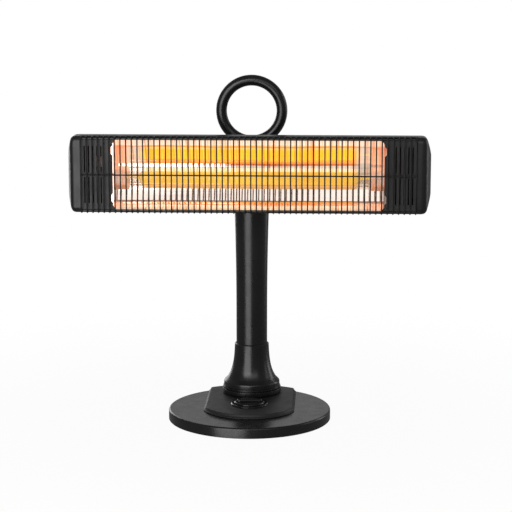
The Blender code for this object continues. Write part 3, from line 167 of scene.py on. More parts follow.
def make_camera():
    data = bpy.data.cameras.new("camera")
    data.sensor_width = 36.0
    data.lens = CAMERA_LENS
    data.clip_end = 100.0
    camera = bpy.data.objects.new("camera", data)
    bpy.context.scene.collection.objects.link(camera)
    aim(camera, CAMERA_PLACE, CAMERA_TARGET)
    bpy.context.scene.camera = camera


def add_softbox(name, location, target, width, height, power):
    data = bpy.data.lights.new(name, "AREA")
    data.shape = "RECTANGLE"
    data.size = width
    data.size_y = height
    data.energy = power
    light = bpy.data.objects.new(name, data)
    light.visible_camera = False
    bpy.context.scene.collection.objects.link(light)
    aim(light, location, target)


def make_world():
    """A white world for the camera, and a dim one for everything that it lights."""
    world = bpy.data.worlds.new("studio")
    world.use_nodes = True
    nodes, links = world.node_tree.nodes, world.node_tree.links
    background = nodes["Background"]
    path = nodes.new("ShaderNodeLightPath")
    amount = nodes.new("ShaderNodeMapRange")
    amount.inputs["To Min"].default_value = WORLD_GLOW
    amount.inputs["To Max"].default_value = 1.0
    links.new(path.outputs["Is Camera Ray"], amount.inputs["Value"])
    links.new(amount.outputs["Result"], background.inputs["Strength"])
    background.inputs["Color"].default_value = (1.0, 1.0, 1.0, 1.0)
    bpy.context.scene.world = world
    bpy.context.scene.view_settings.view_transform = "Standard"


def make_floor():
    """A floor that the camera sees as almost white, with a faint shadow by the base."""
    bm = bmesh.new()
    bmesh.ops.create_circle(bm, cap_ends=True, segments=96, radius=FLOOR_RADIUS)
    mesh = bpy.data.meshes.new("floor")
    bm.to_mesh(mesh)
    bm.free()
    floor = bpy.data.objects.new("floor", mesh)
    bpy.context.scene.collection.objects.link(floor)
    material = bpy.data.materials.new("pale_floor")
    material.use_nodes = True
    nodes, links = material.node_tree.nodes, material.node_tree.links
    nodes.clear()
    output = nodes.new("ShaderNodeOutputMaterial")
    diffuse = nodes.new("ShaderNodeBsdfDiffuse")
    diffuse.inputs["Color"].default_value = (0.86, 0.86, 0.86, 1.0)
    glow = nodes.new("ShaderNodeEmission")
    glow.inputs["Color"].default_value = (1.0, 1.0, 1.0, 1.0)
    path = nodes.new("ShaderNodeLightPath")
    where = nodes.new("ShaderNodeTexCoord")
    length = nodes.new("ShaderNodeVectorMath")
    length.operation = "LENGTH"
    spread = nodes.new("ShaderNodeMapRange")
    spread.interpolation_type = "SMOOTHSTEP"
    spread.inputs["From Min"].default_value = 0.15
    spread.inputs["From Max"].default_value = 0.9
    spread.inputs["To Min"].default_value = FLOOR_GLOW_NEAR
    spread.inputs["To Max"].default_value = 1.0
    amount = nodes.new("ShaderNodeMath")
    amount.operation = "MULTIPLY"
    mix = nodes.new("ShaderNodeMixShader")
    links.new(where.outputs["Object"], length.inputs[0])
    links.new(length.outputs["Value"], spread.inputs["Value"])
    links.new(spread.outputs["Result"], amount.inputs[0])
    links.new(path.outputs["Is Camera Ray"], amount.inputs[1])
    links.new(amount.outputs["Value"], mix.inputs["Fac"])
    links.new(diffuse.outputs["BSDF"], mix.inputs[1])
    links.new(glow.outputs["Emission"], mix.inputs[2])
    links.new(mix.outputs["Shader"], output.inputs["Surface"])
    mesh.materials.append(material)
    floor.visible_glossy = False


# --- Shape tools ------------------------------------------------------------------------------
def arc(centre, radius, start, end, steps):
    """Points on an arc; the angles are in degrees."""
    points = []
    for step in range(steps + 1):
        angle = math.radians(start + (end - start) * step / steps)
        points.append((centre[0] + radius * math.cos(angle), centre[1] + radius * math.sin(angle)))
    return points


def softened(points, radius, steps=3, closed=True):
    """The outline with each corner rounded; an open outline keeps its two ends."""
    made = []
    count = len(points)
    for index, point in enumerate(points):
        if not closed and index in (0, count - 1):
            made.append(tuple(point))
            continue
        here = Vector(point)
        before = Vector(points[index - 1]) - here
        after = Vector(points[(index + 1) % count]) - here
        reach = min(radius, 0.45 * before.length, 0.45 * after.length)
        start = here + before.normalized() * reach
        end = here + after.normalized() * reach
        for step in range(steps + 1):
            t = step / steps
            made.append(tuple(start * (1 - t) ** 2 + here * 2 * t * (1 - t) + end * t**2))
    return made


def turned(outline, centre=(0.0, 0.0, 0.0), segments=128):
    """A solid turned about the vertical through centre from (radius, height) points."""
    bm = bmesh.new()
    closed = outline[0][0] > 0.0
    rings = []
    for radius, height in outline:
        if radius <= 0.0:
            rings.append([bm.verts.new((0.0, 0.0, height))])
            continue
        ring = []
        for index in range(segments):
            angle = 2 * math.pi * index / segments
            ring.append(bm.verts.new((radius * math.cos(angle), radius * math.sin(angle), height)))
        rings.append(ring)
    pairs = list(zip(rings, rings[1:]))
    if closed:
        pairs.append((rings[-1], rings[0]))
    for low, high in pairs:
        for index in range(segments):
            after = (index + 1) % segments
            corners = [low[index % len(low)], low[after % len(low)]]
            corners += [high[after % len(high)], high[index % len(high)]]
            unique = [item for place, item in enumerate(corners) if item not in corners[:place]]
            if len(unique) > 2:
                bm.faces.new(unique)
    bmesh.ops.translate(bm, vec=centre, verts=bm.verts)
    return bm


def turned_toward(outline, origin, direction, segments=64):
    """A solid turned about an axis through origin; heights run along direction."""
    bm = turned(outline, segments=segments)
    turn = Vector(direction).to_track_quat("Z", "Y").to_matrix().to_4x4()
    bmesh.ops.transform(bm, matrix=Matrix.Translation(origin) @ turn, verts=bm.verts)
    return bm


def loft(loops):
    """A closed solid over loops of points, with a face on the first loop and on the last."""
    bm = bmesh.new()
    rings = [[bm.verts.new(point) for point in loop] for loop in loops]
    for lower, upper in zip(rings, rings[1:]):
        for index in range(len(lower)):
            after = (index + 1) % len(lower)
            bm.faces.new((lower[index], lower[after], upper[after], upper[index]))
    bm.faces.new(rings[0])
    bm.faces.new(rings[-1])
    return bm


def box(low, high):
    bm = bmesh.new()
    size = Vector(high) - Vector(low)
    centre = (Vector(high) + Vector(low)) / 2
    matrix = Matrix.Translation(centre) @ Matrix.Diagonal((*size, 1.0))
    bmesh.ops.create_cube(bm, size=1.0, matrix=matrix)
    return bm


def rod(start, end, radius, segments=32):
    length = (Vector(end) - Vector(start)).length
    outline = [(0.0, 0.0), (radius, 0.0), (radius, length), (0.0, length)]
    return turned_toward(outline, start, Vector(end) - Vector(start), segments)


def sweep(paths, radius, sides=8):
    """Round wires along open paths, as one mesh with closed ends."""
    bm = bmesh.new()
    for path in paths:
        points = [Vector(point) for point in path]
        rings = []
        for index, point in enumerate(points):
            ahead = points[min(index + 1, len(points) - 1)]
            behind = points[max(index - 1, 0)]
            along = (ahead - behind).normalized()
            across = Vector((1, 0, 0)) if abs(along.x) < 0.9 else Vector((0, 1, 0))
            upward = along.cross(across).normalized()
            across = upward.cross(along).normalized()
            ring = []
            for side in range(sides):
                angle = 2 * math.pi * side / sides
                offset = across * math.cos(angle) + upward * math.sin(angle)
                ring.append(bm.verts.new(point + offset * radius))
            rings.append(ring)
        for lower, upper in zip(rings, rings[1:]):
            for side in range(sides):
                after = (side + 1) % sides
                bm.faces.new((lower[side], lower[after], upper[after], upper[side]))
        bm.faces.new(rings[0])
        bm.faces.new(rings[-1])
    return bm


def add_piece(name, bm, material, body, replaced=(), sharp=35.0):
    bmesh.ops.recalc_face_normals(bm, faces=bm.faces)
    mesh = bpy.data.meshes.new(name)
    bm.to_mesh(mesh)
    bm.free()
    mesh.shade_smooth()
    mesh.set_sharp_from_angle(angle=math.radians(sharp))
    mesh.materials.append(material)
    obj = bpy.data.objects.new(name, mesh)
    bpy.context.scene.collection.objects.link(obj)
    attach(obj, body)
    if replaced:
        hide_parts(*replaced)
    return obj


def combine(obj, bm, operation="DIFFERENCE"):
    """Cuts a shape out of a piece, or joins it on, and applies the result."""
    bmesh.ops.recalc_face_normals(bm, faces=bm.faces)
    mesh = bpy.data.meshes.new("helper")
    bm.to_mesh(mesh)
    bm.free()
    mesh.shade_smooth()
    helper = bpy.data.objects.new("helper", mesh)
    bpy.context.scene.collection.objects.link(helper)
    modifier = obj.modifiers.new("boolean", "BOOLEAN")
    modifier.operation = operation
    modifier.solver = "EXACT"
    modifier.object = helper
    bpy.context.view_layer.update()
    graph = bpy.context.evaluated_depsgraph_get()
    result = bpy.data.meshes.new_from_object(obj.evaluated_get(graph))
    obj.modifiers.clear()
    old = obj.data
    obj.data = result
    result.name = old.name
    bpy.data.meshes.remove(old)
    bpy.data.objects.remove(helper)
    result.set_sharp_from_angle(angle=math.radians(35.0))


def drill(obj, start, end, radius, segments=32):
    """Cuts a round hole from start to end."""
    combine(obj, rod(start, end, radius, segments))


def softened_copy(name, node, width, material, body):
    """A copy of a CAD node with its sharp edges rounded, which stands for the node."""
    bm = bmesh.new()
    bm.from_mesh(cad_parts[node].data)
    bmesh.ops.remove_doubles(bm, verts=bm.verts, dist=1e-6)
    bmesh.ops.dissolve_limit(
        bm, angle_limit=math.radians(1.0), verts=bm.verts, edges=bm.edges, delimit={"NORMAL"}
    )
    obj = add_piece(name, bm, material, body, (node,))
    bevel = obj.modifiers.new("bevel", "BEVEL")
    bevel.width = width
    bevel.segments = 3
    bevel.limit_method = "ANGLE"
    bevel.angle_limit = math.radians(40.0)
    bevel.harden_normals = True
    return obj


# --- Materials --------------------------------------------------------------------------------
class Surface:
    """A Principled material whose colour, roughness and bump come from noise in object space."""

    def __init__(self, name, metallic=0.0, ior=1.5):
        self.material = bpy.data.materials.new(name)
        self.material.use_nodes = True
        self.nodes = self.material.node_tree.nodes
        self.links = self.material.node_tree.links
        self.shader = self.nodes["Principled BSDF"]
        self.shader.inputs["Metallic"].default_value = metallic
        self.shader.inputs["IOR"].default_value = ior
        self.place = self.nodes.new("ShaderNodeTexCoord").outputs["Object"]

    def noise(self, scale, detail=4.0, stretch=None, roughness=0.55):
        source = self.place
        if stretch:
            mapping = self.nodes.new("ShaderNodeMapping")
            mapping.inputs["Scale"].default_value = stretch
            self.links.new(source, mapping.inputs["Vector"])
            source = mapping.outputs["Vector"]
        node = self.nodes.new("ShaderNodeTexNoise")
        node.inputs["Scale"].default_value = scale
        node.inputs["Detail"].default_value = detail
        node.inputs["Roughness"].default_value = roughness
        self.links.new(source, node.inputs["Vector"])
        return node.outputs["Fac"]

    def ranged(self, value, low, high, start=0.3, end=0.7):
        node = self.nodes.new("ShaderNodeMapRange")
        node.inputs["From Min"].default_value = start
        node.inputs["From Max"].default_value = end
        node.inputs["To Min"].default_value = low
        node.inputs["To Max"].default_value = high
        self.links.new(value, node.inputs["Value"])
        return node.outputs["Result"]

    def ramp(self, value, stops):
        node = self.nodes.new("ShaderNodeValToRGB")
        elements = node.color_ramp.elements
        while len(elements) < len(stops):
            elements.new(0.5)
        for element, (position, colour) in zip(elements, stops):
            element.position = position
            element.color = (*colour, 1.0)
        self.links.new(value, node.inputs["Fac"])
        return node.outputs["Color"]

    def axis(self, letter):
        node = self.nodes.new("ShaderNodeSeparateXYZ")
        self.links.new(self.place, node.inputs["Vector"])
        return node.outputs[letter]

    def worked_out(self, operation, *values):
        node = self.nodes.new("ShaderNodeMath")
        node.operation = operation
        for place, value in enumerate(values):
            self.links.new(value, node.inputs[place])
        return node.outputs["Value"]

    def blend(self, amount, first, second, kind="MIX"):
        """Mixes two colours; the amount and each colour are a socket or a plain value."""
        node = self.nodes.new("ShaderNodeMix")
        node.data_type = "RGBA"
        node.blend_type = kind
        for name, value in (("Factor", amount), ("A", first), ("B", second)):
            if isinstance(value, bpy.types.NodeSocket):
                self.links.new(value, node.inputs[name])
            else:
                node.inputs[name].default_value = value
        return node.outputs["Result"]

    def colour(self, socket):
        self.links.new(socket, self.shader.inputs["Base Color"])

    def roughness(self, socket):
        self.links.new(socket, self.shader.inputs["Roughness"])

    def emission(self, socket, strength):
        self.links.new(socket, self.shader.inputs["Emission Color"])
        self.shader.inputs["Emission Strength"].default_value = strength

    def bump(self, height, strength, distance):
        node = self.nodes.new("ShaderNodeBump")
        node.inputs["Strength"].default_value = strength
        node.inputs["Distance"].default_value = distance
        self.links.new(height, node.inputs["Height"])
        self.links.new(node.outputs["Normal"], self.shader.inputs["Normal"])


def mixed(first, second, amount):
    return tuple(a + (b - a) * amount for a, b in zip(first, second))


def grained(name, dark, light, rough_low, rough_high, grain, depth=0.00004, metallic=0.0, wear=0.8):
    """Paint or moulding: slow colour drift, mottled gloss, a fine grain and scuffed edges."""
    surface = Surface(name, metallic)
    drift = surface.noise(14.0, 5.0)
    edge = surface.nodes.new("ShaderNodeNewGeometry").outputs["Pointiness"]
    worn = surface.ranged(edge, 0.0, wear, 0.53, 0.62)
    patches = surface.ranged(surface.noise(95.0, 6.0), 0.2, 1.0)
    paint = surface.ramp(drift, [(0.35, dark), (0.65, light)])
    bare = (*(0.028 + channel * 1.3 for channel in light), 1.0)
    surface.colour(surface.blend(surface.worked_out("MULTIPLY", worn, patches), paint, bare))
    surface.roughness(surface.ranged(surface.noise(60.0, 6.0), rough_low, rough_high))
    surface.bump(surface.noise(grain, 3.0), 0.12, depth)
    return surface.material


def brushed(name, dark, light, rough_low, rough_high, stretch):
    """Metal with fine streaks along one direction."""
    surface = Surface(name, 1.0)
    streaks = surface.noise(420.0, 5.0, stretch)
    surface.colour(surface.ramp(streaks, [(0.3, dark), (0.7, light)]))
    surface.roughness(surface.ranged(streaks, rough_low, rough_high))
    surface.bump(streaks, 0.2, 0.00002)
    return surface.material


BLACK = ((0.006, 0.006, 0.0063), (0.010, 0.010, 0.0103))
SOFT_BLACK = ((0.007, 0.007, 0.0073), (0.012, 0.012, 0.0124))
PALE_BLACK = ((0.009, 0.009, 0.0093), (0.014, 0.014, 0.0144))
PAINT = grained("base_paint", *SOFT_BLACK, 0.22, 0.30, 700.0)
TUBE_PAINT = grained("column_paint", *BLACK, 0.24, 0.34, 800.0)
PLASTIC = grained("black_plastic", *BLACK, 0.22, 0.32, 1100.0)
SHELL = grained("shell_coating", *SOFT_BLACK, 0.30, 0.42, 900.0)
HOUSING = grained("housing_plastic", *PALE_BLACK, 0.46, 0.56, 1100.0, wear=0.0)
GLOSS = grained("knob_plastic", (0.005, 0.005, 0.0052), (0.008, 0.008, 0.0083), 0.12, 0.20, 1300.0)
VENT = grained("vent_plastic", (0.008, 0.008, 0.0083), (0.014, 0.014, 0.0144), 0.40, 0.50, 1000.0)
RUBBER = grained("foot_rubber", (0.012, 0.012, 0.012), (0.022, 0.022, 0.021), 0.75, 0.90, 500.0, 0.0001)
CABLE = grained("cable_jacket", (0.012, 0.012, 0.012), (0.018, 0.018, 0.018), 0.50, 0.62, 600.0)
SWITCH = grained("switch_body", (0.045, 0.045, 0.045), (0.065, 0.065, 0.063), 0.42, 0.55, 900.0)
RED = grained("plunger_plastic", (0.42, 0.025, 0.02), (0.55, 0.04, 0.03), 0.38, 0.5, 900.0)
IRON = grained("ballast_iron", (0.06, 0.058, 0.055), (0.12, 0.115, 0.11), 0.6, 0.8, 250.0, 0.0004, 1.0)
STEEL = brushed("zinc_steel", (0.42, 0.42, 0.43), (0.62, 0.62, 0.63), 0.28, 0.45, (1.0, 1.0, 0.05))


def make_wire_material():
    surface = Surface("guard_wire")
    stops = [(0.35, (0.004, 0.0035, 0.003)), (0.65, (0.009, 0.007, 0.006))]
    surface.colour(surface.ramp(surface.noise(40.0, 4.0), stops))
    surface.roughness(surface.ranged(surface.noise(120.0, 4.0), 0.50, 0.65))
    surface.bump(surface.noise(1500.0, 2.0), 0.3, 0.00003)
    return surface.material


def make_painted_reflection_mirror_material():
    """Bright sheet with painted reflections of the lamp: its glow and the reflections of its wires are
    painted on as emission in level bands.
    """
    surface = Surface("reflector_sheet", 1.0)
    streaks = surface.noise(300.0, 4.0, (0.04, 1.0, 1.0))
    surface.roughness(surface.ranged(streaks, 0.035, 0.075))
    surface.bump(surface.noise(60.0, 2.0, (0.3, 1.0, 1.0)), 0.06, 0.0001)
    wobble = surface.ranged(surface.noise(9.0, 3.0, (1.0, 0.2, 0.2)), -0.0016, 0.0016)
    lifted = surface.worked_out("ADD", surface.axis("Z"), wobble)
    bottom, top = HEAD_Z - PAINTED_BAND_HALF_HEIGHT, HEAD_Z + PAINTED_BAND_HALF_HEIGHT
    height = surface.ranged(lifted, 0.0, 1.0, bottom, top)
    # Colours of the painted light and painted reflections on the sheet
    white = (0.60, 0.53, 0.44)
    pale = (0.15, 0.115, 0.10)
    yellow = (0.90, 0.45, 0.018)
    orange = (0.66, 0.14, 0.010)
    brown = (0.16, 0.07, 0.03)
    bright = (0.84, 0.74, 0.62)
    # A stop's place runs from 0 at PAINTED_BAND_HALF_HEIGHT under the head's middle to 1 as far over it.
    # The three sets of painted reflection bands are for the lamp's heated length, past it, and at both
    # ends of the window. The bands stay fixed in place and do not move with the view as real reflections
    # would.
    lit = [
        (0.00, white),
        (0.03, white),
        (0.04, orange),
        (0.065, orange),
        (0.085, pale),
        (0.275, pale),
        (0.300, mixed(pale, white, 0.4)),
        (0.315, brown),
        (0.345, mixed(white, pale, 0.5)),
        (0.52, bright),
        (0.590, bright),
        (0.605, orange),
        (0.665, orange),
        (0.695, yellow),
        (0.840, yellow),
        (0.870, mixed(yellow, white, 0.6)),
        (0.886, orange),
        (0.898, orange),
        (0.910, white),
        (1.00, white),
    ]
    plain = [(0.00, white), (0.05, orange), (0.09, pale), (0.60, white), (0.88, white)]
    plain += [(0.892, orange), (0.905, white)]
    amber = mixed(orange, white, 0.35)
    ends = [(0.00, white), (0.05, amber), (0.09, pale), (0.30, pale), (0.35, amber)]
    ends += [(0.55, mixed(orange, white, 0.6)), (0.84, amber), (0.895, orange), (0.92, white)]
    side = surface.worked_out("ABSOLUTE", surface.axis("X"))
    beyond = surface.ranged(side, 0.0, 1.0, 0.150, 0.162)
    outer = surface.ranged(side, 0.0, 1.0, 0.174, 0.181)
    glow = surface.blend(beyond, surface.ramp(height, lit), surface.ramp(height, plain))
    glow = surface.blend(outer, glow, surface.ramp(height, ends))
    # Streaks along the lamp in the painted reflection of its coil
    painted_reflection_streaks = surface.noise(1.0, 4.0, (260.0, 3.0, 3.0), 0.7)
    stops = [(0.34, (0.30, 0.13, 0.07)), (0.44, (1.0, 0.66, 0.50)), (0.56, (1.0, 1.0, 1.0))]
    # This emission is painted light: the lamp's light on the sheet and the reflections of the element
    # and the wires, painted as fixed bands.
    surface.emission(surface.blend(1.0, glow, surface.ramp(painted_reflection_streaks, stops), "MULTIPLY"), 1.0)
    surface.colour(surface.ramp(streaks, [(0.3, (0.58, 0.50, 0.45)), (0.7, (0.68, 0.59, 0.53))]))
    return surface.material


def lit_length(surface, start, end):
    """One along the heated length of the lamp and nothing past it, at both ends."""
    return surface.ranged(surface.worked_out("ABSOLUTE", surface.axis("X")), 1.0, 0.0, start, end)


def make_element_material():
    surface = Surface("glowing_element")
    braid = surface.nodes.new("ShaderNodeTexWave")
    braid.wave_type = "BANDS"
    braid.bands_direction = "X"
    braid.inputs["Scale"].default_value = 90.0
    braid.inputs["Distortion"].default_value = 3.0
    surface.links.new(surface.place, braid.inputs["Vector"])
    stops = [(0.0, (0.80, 0.36, 0.03)), (1.0, (0.92, 0.56, 0.07))]
    surface.emission(surface.ramp(braid.outputs["Fac"], stops), 1.15)
    surface.shader.inputs["Base Color"].default_value = (0.05, 0.03, 0.02, 1.0)
    surface.roughness(surface.ranged(surface.noise(200.0), 0.5, 0.7))
    return surface.material


def make_quartz_material():
    """Clear tube, hazed by the glow along its heated length."""
    surface = Surface("quartz_glass", 0.0, 1.45)
    haze = surface.noise(30.0, 4.0, (0.2, 1.0, 1.0))
    surface.roughness(surface.ranged(haze, 0.02, 0.10))
    surface.shader.inputs["Base Color"].default_value = (0.30, 0.24, 0.16, 1.0)
    lit = lit_length(surface, 0.150, 0.160)
    surface.links.new(surface.ranged(lit, 0.16, 0.62, 0.0, 1.0), surface.shader.inputs["Alpha"])
    stops = [(0.3, (0.72, 0.34, 0.012)), (0.7, (0.84, 0.50, 0.025))]
    glow = surface.blend(lit, (0.20, 0.13, 0.07, 1.0), surface.ramp(haze, stops))
    surface.emission(glow, 1.0)
    return surface.material


def make_lamp_lit_ceramic_material():
    """White ceramic with the lamp's orange light painted on as a glow at the mouth that faces the lamp.
    """
    surface = Surface("socket_ceramic_painted_glow")
    drift = surface.noise(60.0, 4.0)
    surface.colour(surface.ramp(drift, [(0.35, (0.60, 0.54, 0.47)), (0.65, (0.76, 0.71, 0.64))]))
    surface.roughness(surface.ranged(surface.noise(120.0), 0.45, 0.62))
    surface.bump(surface.noise(500.0, 3.0), 0.35, 0.00004)
    # Painted light: the lamp's orange light on the ceramic near the tube, painted on as emission
    near = lit_length(surface, 0.184, 0.196)
    surface.emission(surface.blend(near, (0.0, 0.0, 0.0, 1.0), (0.62, 0.16, 0.02, 1.0)), 0.6)
    return surface.material


WIRE = make_wire_material()
MIRROR_WITH_PAINTED_REFLECTIONS = make_painted_reflection_mirror_material()
ELEMENT = make_element_material()
QUARTZ = make_quartz_material()
CERAMIC_WITH_PAINTED_GLOW = make_lamp_lit_ceramic_material()


# --- Base -------------------------------------------------------------------------------------
def make_base():
    inside = BASE_R - COVER_WALL
    floor = COVER_LOW.z
    # The rings at 0.020 m and 0.088 m keep the edge wear of the material off the flat top.
    outline = [(0.0, BASE_TOP), (0.020, BASE_TOP), (0.088, BASE_TOP), (BASE_R - 0.008, BASE_TOP)]
    outline += arc((BASE_R - COVER_EDGE, BASE_TOP - COVER_EDGE), COVER_EDGE, 90, 0, 10)
    outline += [(BASE_R, floor + 0.0025), (BASE_R, floor + 0.0006), (BASE_R - 0.0006, floor)]
    outline += [(inside, floor), (inside, BASE_TOP - COVER_WALL), (0.0, BASE_TOP - COVER_WALL)]
    cover = add_piece(
        "base_cover_fine", turned(outline, segments=192), PAINT, "base", ("base_cover",)
    )
    drill(cover, (0, COLUMN_Y, 0), (0, COLUMN_Y, 0.03), POST_BORE)
    drill(cover, (0, KNOB_Y, 0), (0, KNOB_Y, 0.03), SHAFT_BORE)
    gland_low, gland_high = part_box("cable_gland")
    gland_z = (gland_low.z + gland_high.z) / 2
    drill(cover, (0, inside - 0.01, gland_z), (0, BASE_R + 0.01, gland_z), GLAND_BORE)


def make_feet():
    for index in range(4):
        low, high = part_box(f"foot_{index + 1}")
        centre = ((low.x + high.x) / 2, (low.y + high.y) / 2, 0.0)
        radius = (high.x - low.x) / 2
        outline = [(0.0, 0.0006), (radius * 0.55, 0.0006), (radius * 0.6, 0.0)]
        outline += [(radius - 0.0006, 0.0), (radius, 0.0007), (radius - 0.0003, high.z), (0.0, high.z)]
        name = f"foot_{index + 1}"
        foot = turned(softened(outline, 0.0003, 2, False), centre, 64)
        add_piece(f"{name}_fine", foot, RUBBER, "base", (name,))


def housing_outline(inset):
    """Plan of the housing: straight sides between a front arc and a rear arc, with round corners."""
    front_radius, rear_radius, corner = HOUSING_FRONT_RADIUS, HOUSING_REAR_RADIUS, HOUSING_CORNER
    corner_x = HOUSING_HALF_WIDTH - corner
    front_y = -math.sqrt((front_radius - corner) ** 2 - corner_x**2)
    rear_y = math.sqrt((rear_radius - corner) ** 2 - corner_x**2)
    front_angle = math.degrees(math.atan2(front_y, corner_x))
    rear_angle = math.degrees(math.atan2(rear_y, corner_x))
    right = arc((0, 0), front_radius - inset, -90, front_angle, 24)
    right += arc((corner_x, front_y), corner - inset, front_angle, 0, 8)[1:]
    right += arc((corner_x, rear_y), corner - inset, 0, rear_angle, 10)
    right += arc((0, 0), rear_radius - inset, rear_angle, 90, 18)[1:]
    return right + [(-x, y) for x, y in reversed(right[1:-1])]


def make_control_housing():
    low, top = HOUSING_LOW.z, HOUSING_TOP
    height = top - low
    profile = [
        (HOUSING_SLOPE + 0.0006, top - HOUSING_WALL),
        (HOUSING_WALL, low + 0.0012),
        (HOUSING_WALL, low),
        (0.0, low),
        (0.0, low + height * 0.15),
        (HOUSING_SLOPE * 0.55, low + height * 0.45),
        (HOUSING_SLOPE, top),
        (HOUSING_SLOPE + HOUSING_WALL, top),
    ]
    profile = softened(profile, 0.0007, 4, False)
    loops = [[(x, y, z) for x, y in housing_outline(inset)] for inset, z in profile]
    housing = loft(loops)
    piece = add_piece(
        "control_housing_fine", housing, HOUSING, "base", ("control_housing",)
    )
    drill(piece, (0, COLUMN_Y, 0), (0, COLUMN_Y, 0.04), POST_BORE)
    drill(piece, (0, KNOB_Y, 0), (0, KNOB_Y, 0.04), SHAFT_BORE)


def make_knob():
    centre = (0.0, KNOB_Y, 0.0)
    outer = (BEZEL_HIGH.x - BEZEL_LOW.x) / 2
    inner = outer - BEZEL_WIDTH
    low, high = BEZEL_LOW.z, BEZEL_HIGH.z
    outline = [(inner, low), (outer, low), (outer, low + 0.0008), (outer - 0.0014, high)]
    outline += [(inner + 0.0008, high), (inner, high - 0.0006)]
    bezel = turned(softened(outline, 0.0004, 4), centre, 128)
    add_piece("knob_bezel_fine", bezel, GLOSS, "base", ("knob_bezel",))

    radius = inner - KNOB_GAP
    low = KNOB_LOW.z
    top = HOUSING_TOP + 0.0047
    outline = [(0.0, low), (radius, low), (radius, top - 0.0014), (radius - 0.0012, top)]
    outline += [(radius - 0.0035, top), (radius - 0.0050, top - 0.0012), (0.0, top - 0.0012)]
    body = turned(softened(outline, 0.0005, 4, False), centre, 128)
    knob = add_piece(
        "switch_knob_fine", body, GLOSS, "power_knob", ("switch_knob",)
    )
    grip_top = KNOB_HIGH.z
    loops = []
    for inset, z in [(0.0, low + 0.001), (0.0, grip_top - 0.0014), (0.0003, grip_top - 0.0006)]:
        loops.append(grip_outline(inset, z))
    loops.append(grip_outline(0.0009, grip_top - 0.0001))
    loops.append(grip_outline(0.0015, grip_top))
    combine(knob, loft(loops), "UNION")
    mark = box((0.0125, -0.0004, grip_top - 0.0004), (0.0172, 0.0004, grip_top + 0.001))
    turn = Matrix.Rotation(GRIP_TURN, 3, "Z")
    bmesh.ops.rotate(mark, cent=(0, 0, 0), matrix=turn, verts=mark.verts)
    bmesh.ops.translate(mark, vec=centre, verts=mark.verts)
    combine(knob, mark)
    drill(knob, (0, KNOB_Y, 0), (0, KNOB_Y, grip_top - 0.002), SHAFT_BORE)


def grip_outline(inset, z):
    """The grip's plan: a bar with round ends that narrows a little at its middle."""
    half_length, half_width = GRIP_HALF_LENGTH - inset, GRIP_HALF_WIDTH - inset
    straight = half_length - half_width
    half = []
    for step in range(13):
        x = straight - (2 * straight) * step / 12
        half.append((x, half_width - GRIP_WAIST * (1 - (x / half_length) ** 2)))
    half += arc((-straight, 0.0), half_width, 90, 270, 10)[1:-1]
    points = half + [(-x, -y) for x, y in half]
    turn = Matrix.Rotation(GRIP_TURN, 2)
    made = []
    for point in points:
        place = turn @ Vector(point)
        made.append((place.x, place.y + KNOB_Y, z))
    return made


# --- Column -----------------------------------------------------------------------------------
def skirt_radius(z):
    return SKIRT_NECK_RADIUS + SKIRT_SPREAD * math.exp((SKIRT_BELL_Z - z) / SKIRT_FADE)


def column_radius(z):
    run = min(max((z - COLUMN_FLARE_Z) / (COLUMN_HEAD_Z - COLUMN_FLARE_Z), 0.0), 1.0)
    return COLUMN_RADIUS + (COLUMN_HEAD_RADIUS - COLUMN_RADIUS) * run**2


def levels(start, end, steps):
    return [start + (end - start) * step / steps for step in range(steps + 1)]


def make_column_foot():
    """The fixed collar and the ring that turns on it, each stepped in under the seam above it."""
    low, high = COLLAR_LOW.z, COLLAR_HIGH.z
    radius = COLLAR_HIGH.x
    rim = SWIVEL_LOW.z - SEAM
    outline = [(COLLAR_BORE, low), (radius - 0.0012, low), (radius, low + 0.0018), (radius, rim)]
    outline += [(SEAM_RADIUS, rim), (SEAM_RADIUS, high), (COLLAR_BORE, high)]
    collar = turned(softened(outline, 0.0005, 4), COLUMN_CENTRE, 160)
    add_piece("foot_collar_fine", collar, PLASTIC, "base", ("foot_collar",))

    low, high = SWIVEL_LOW.z, SWIVEL_HIGH.z
    radius = SWIVEL_HIGH.x
    rim = SKIRT_LOW.z - SEAM
    outline = [(COLLAR_BORE, low), (radius, low), (radius, rim)]
    outline += [(SEAM_RADIUS, rim), (SEAM_RADIUS, high), (COLLAR_BORE, high)]
    ring = turned(softened(outline, 0.0005, 4), COLUMN_CENTRE, 160)
    add_piece("swivel_ring_fine", ring, PLASTIC, "column", ("swivel_ring",))


def make_skirt():
    lip = SKIRT_HIGH.z - 0.0012
    foot_radius = SKIRT_HIGH.x
    shoulder_z = 0.0388
    outer = [(skirt_radius(z), z) for z in levels(lip, SKIRT_BELL_Z, 28)]
    outer += arc((foot_radius - 0.0040, shoulder_z), 0.0040, 45, 0, 8)
    outer += [(foot_radius, SKIRT_LOW.z + 0.0006), (foot_radius - 0.0006, SKIRT_LOW.z)]
    fit = 0.0236
    inner = [(foot_radius - SKIRT_WALL, z) for z in (SKIRT_LOW.z, shoulder_z)]
    for z in levels(0.0445, lip, 12):
        inner.append((max(skirt_radius(z) - SKIRT_WALL, fit), z))
    inner += [(fit, SKIRT_HIGH.z - 0.0002), (fit + 0.0002, SKIRT_HIGH.z), (fit + 0.0007, SKIRT_HIGH.z)]
    skirt = turned(outer + inner, COLUMN_CENTRE, 160)
    add_piece("column_skirt_fine", skirt, PLASTIC, "column", ("column_skirt",))


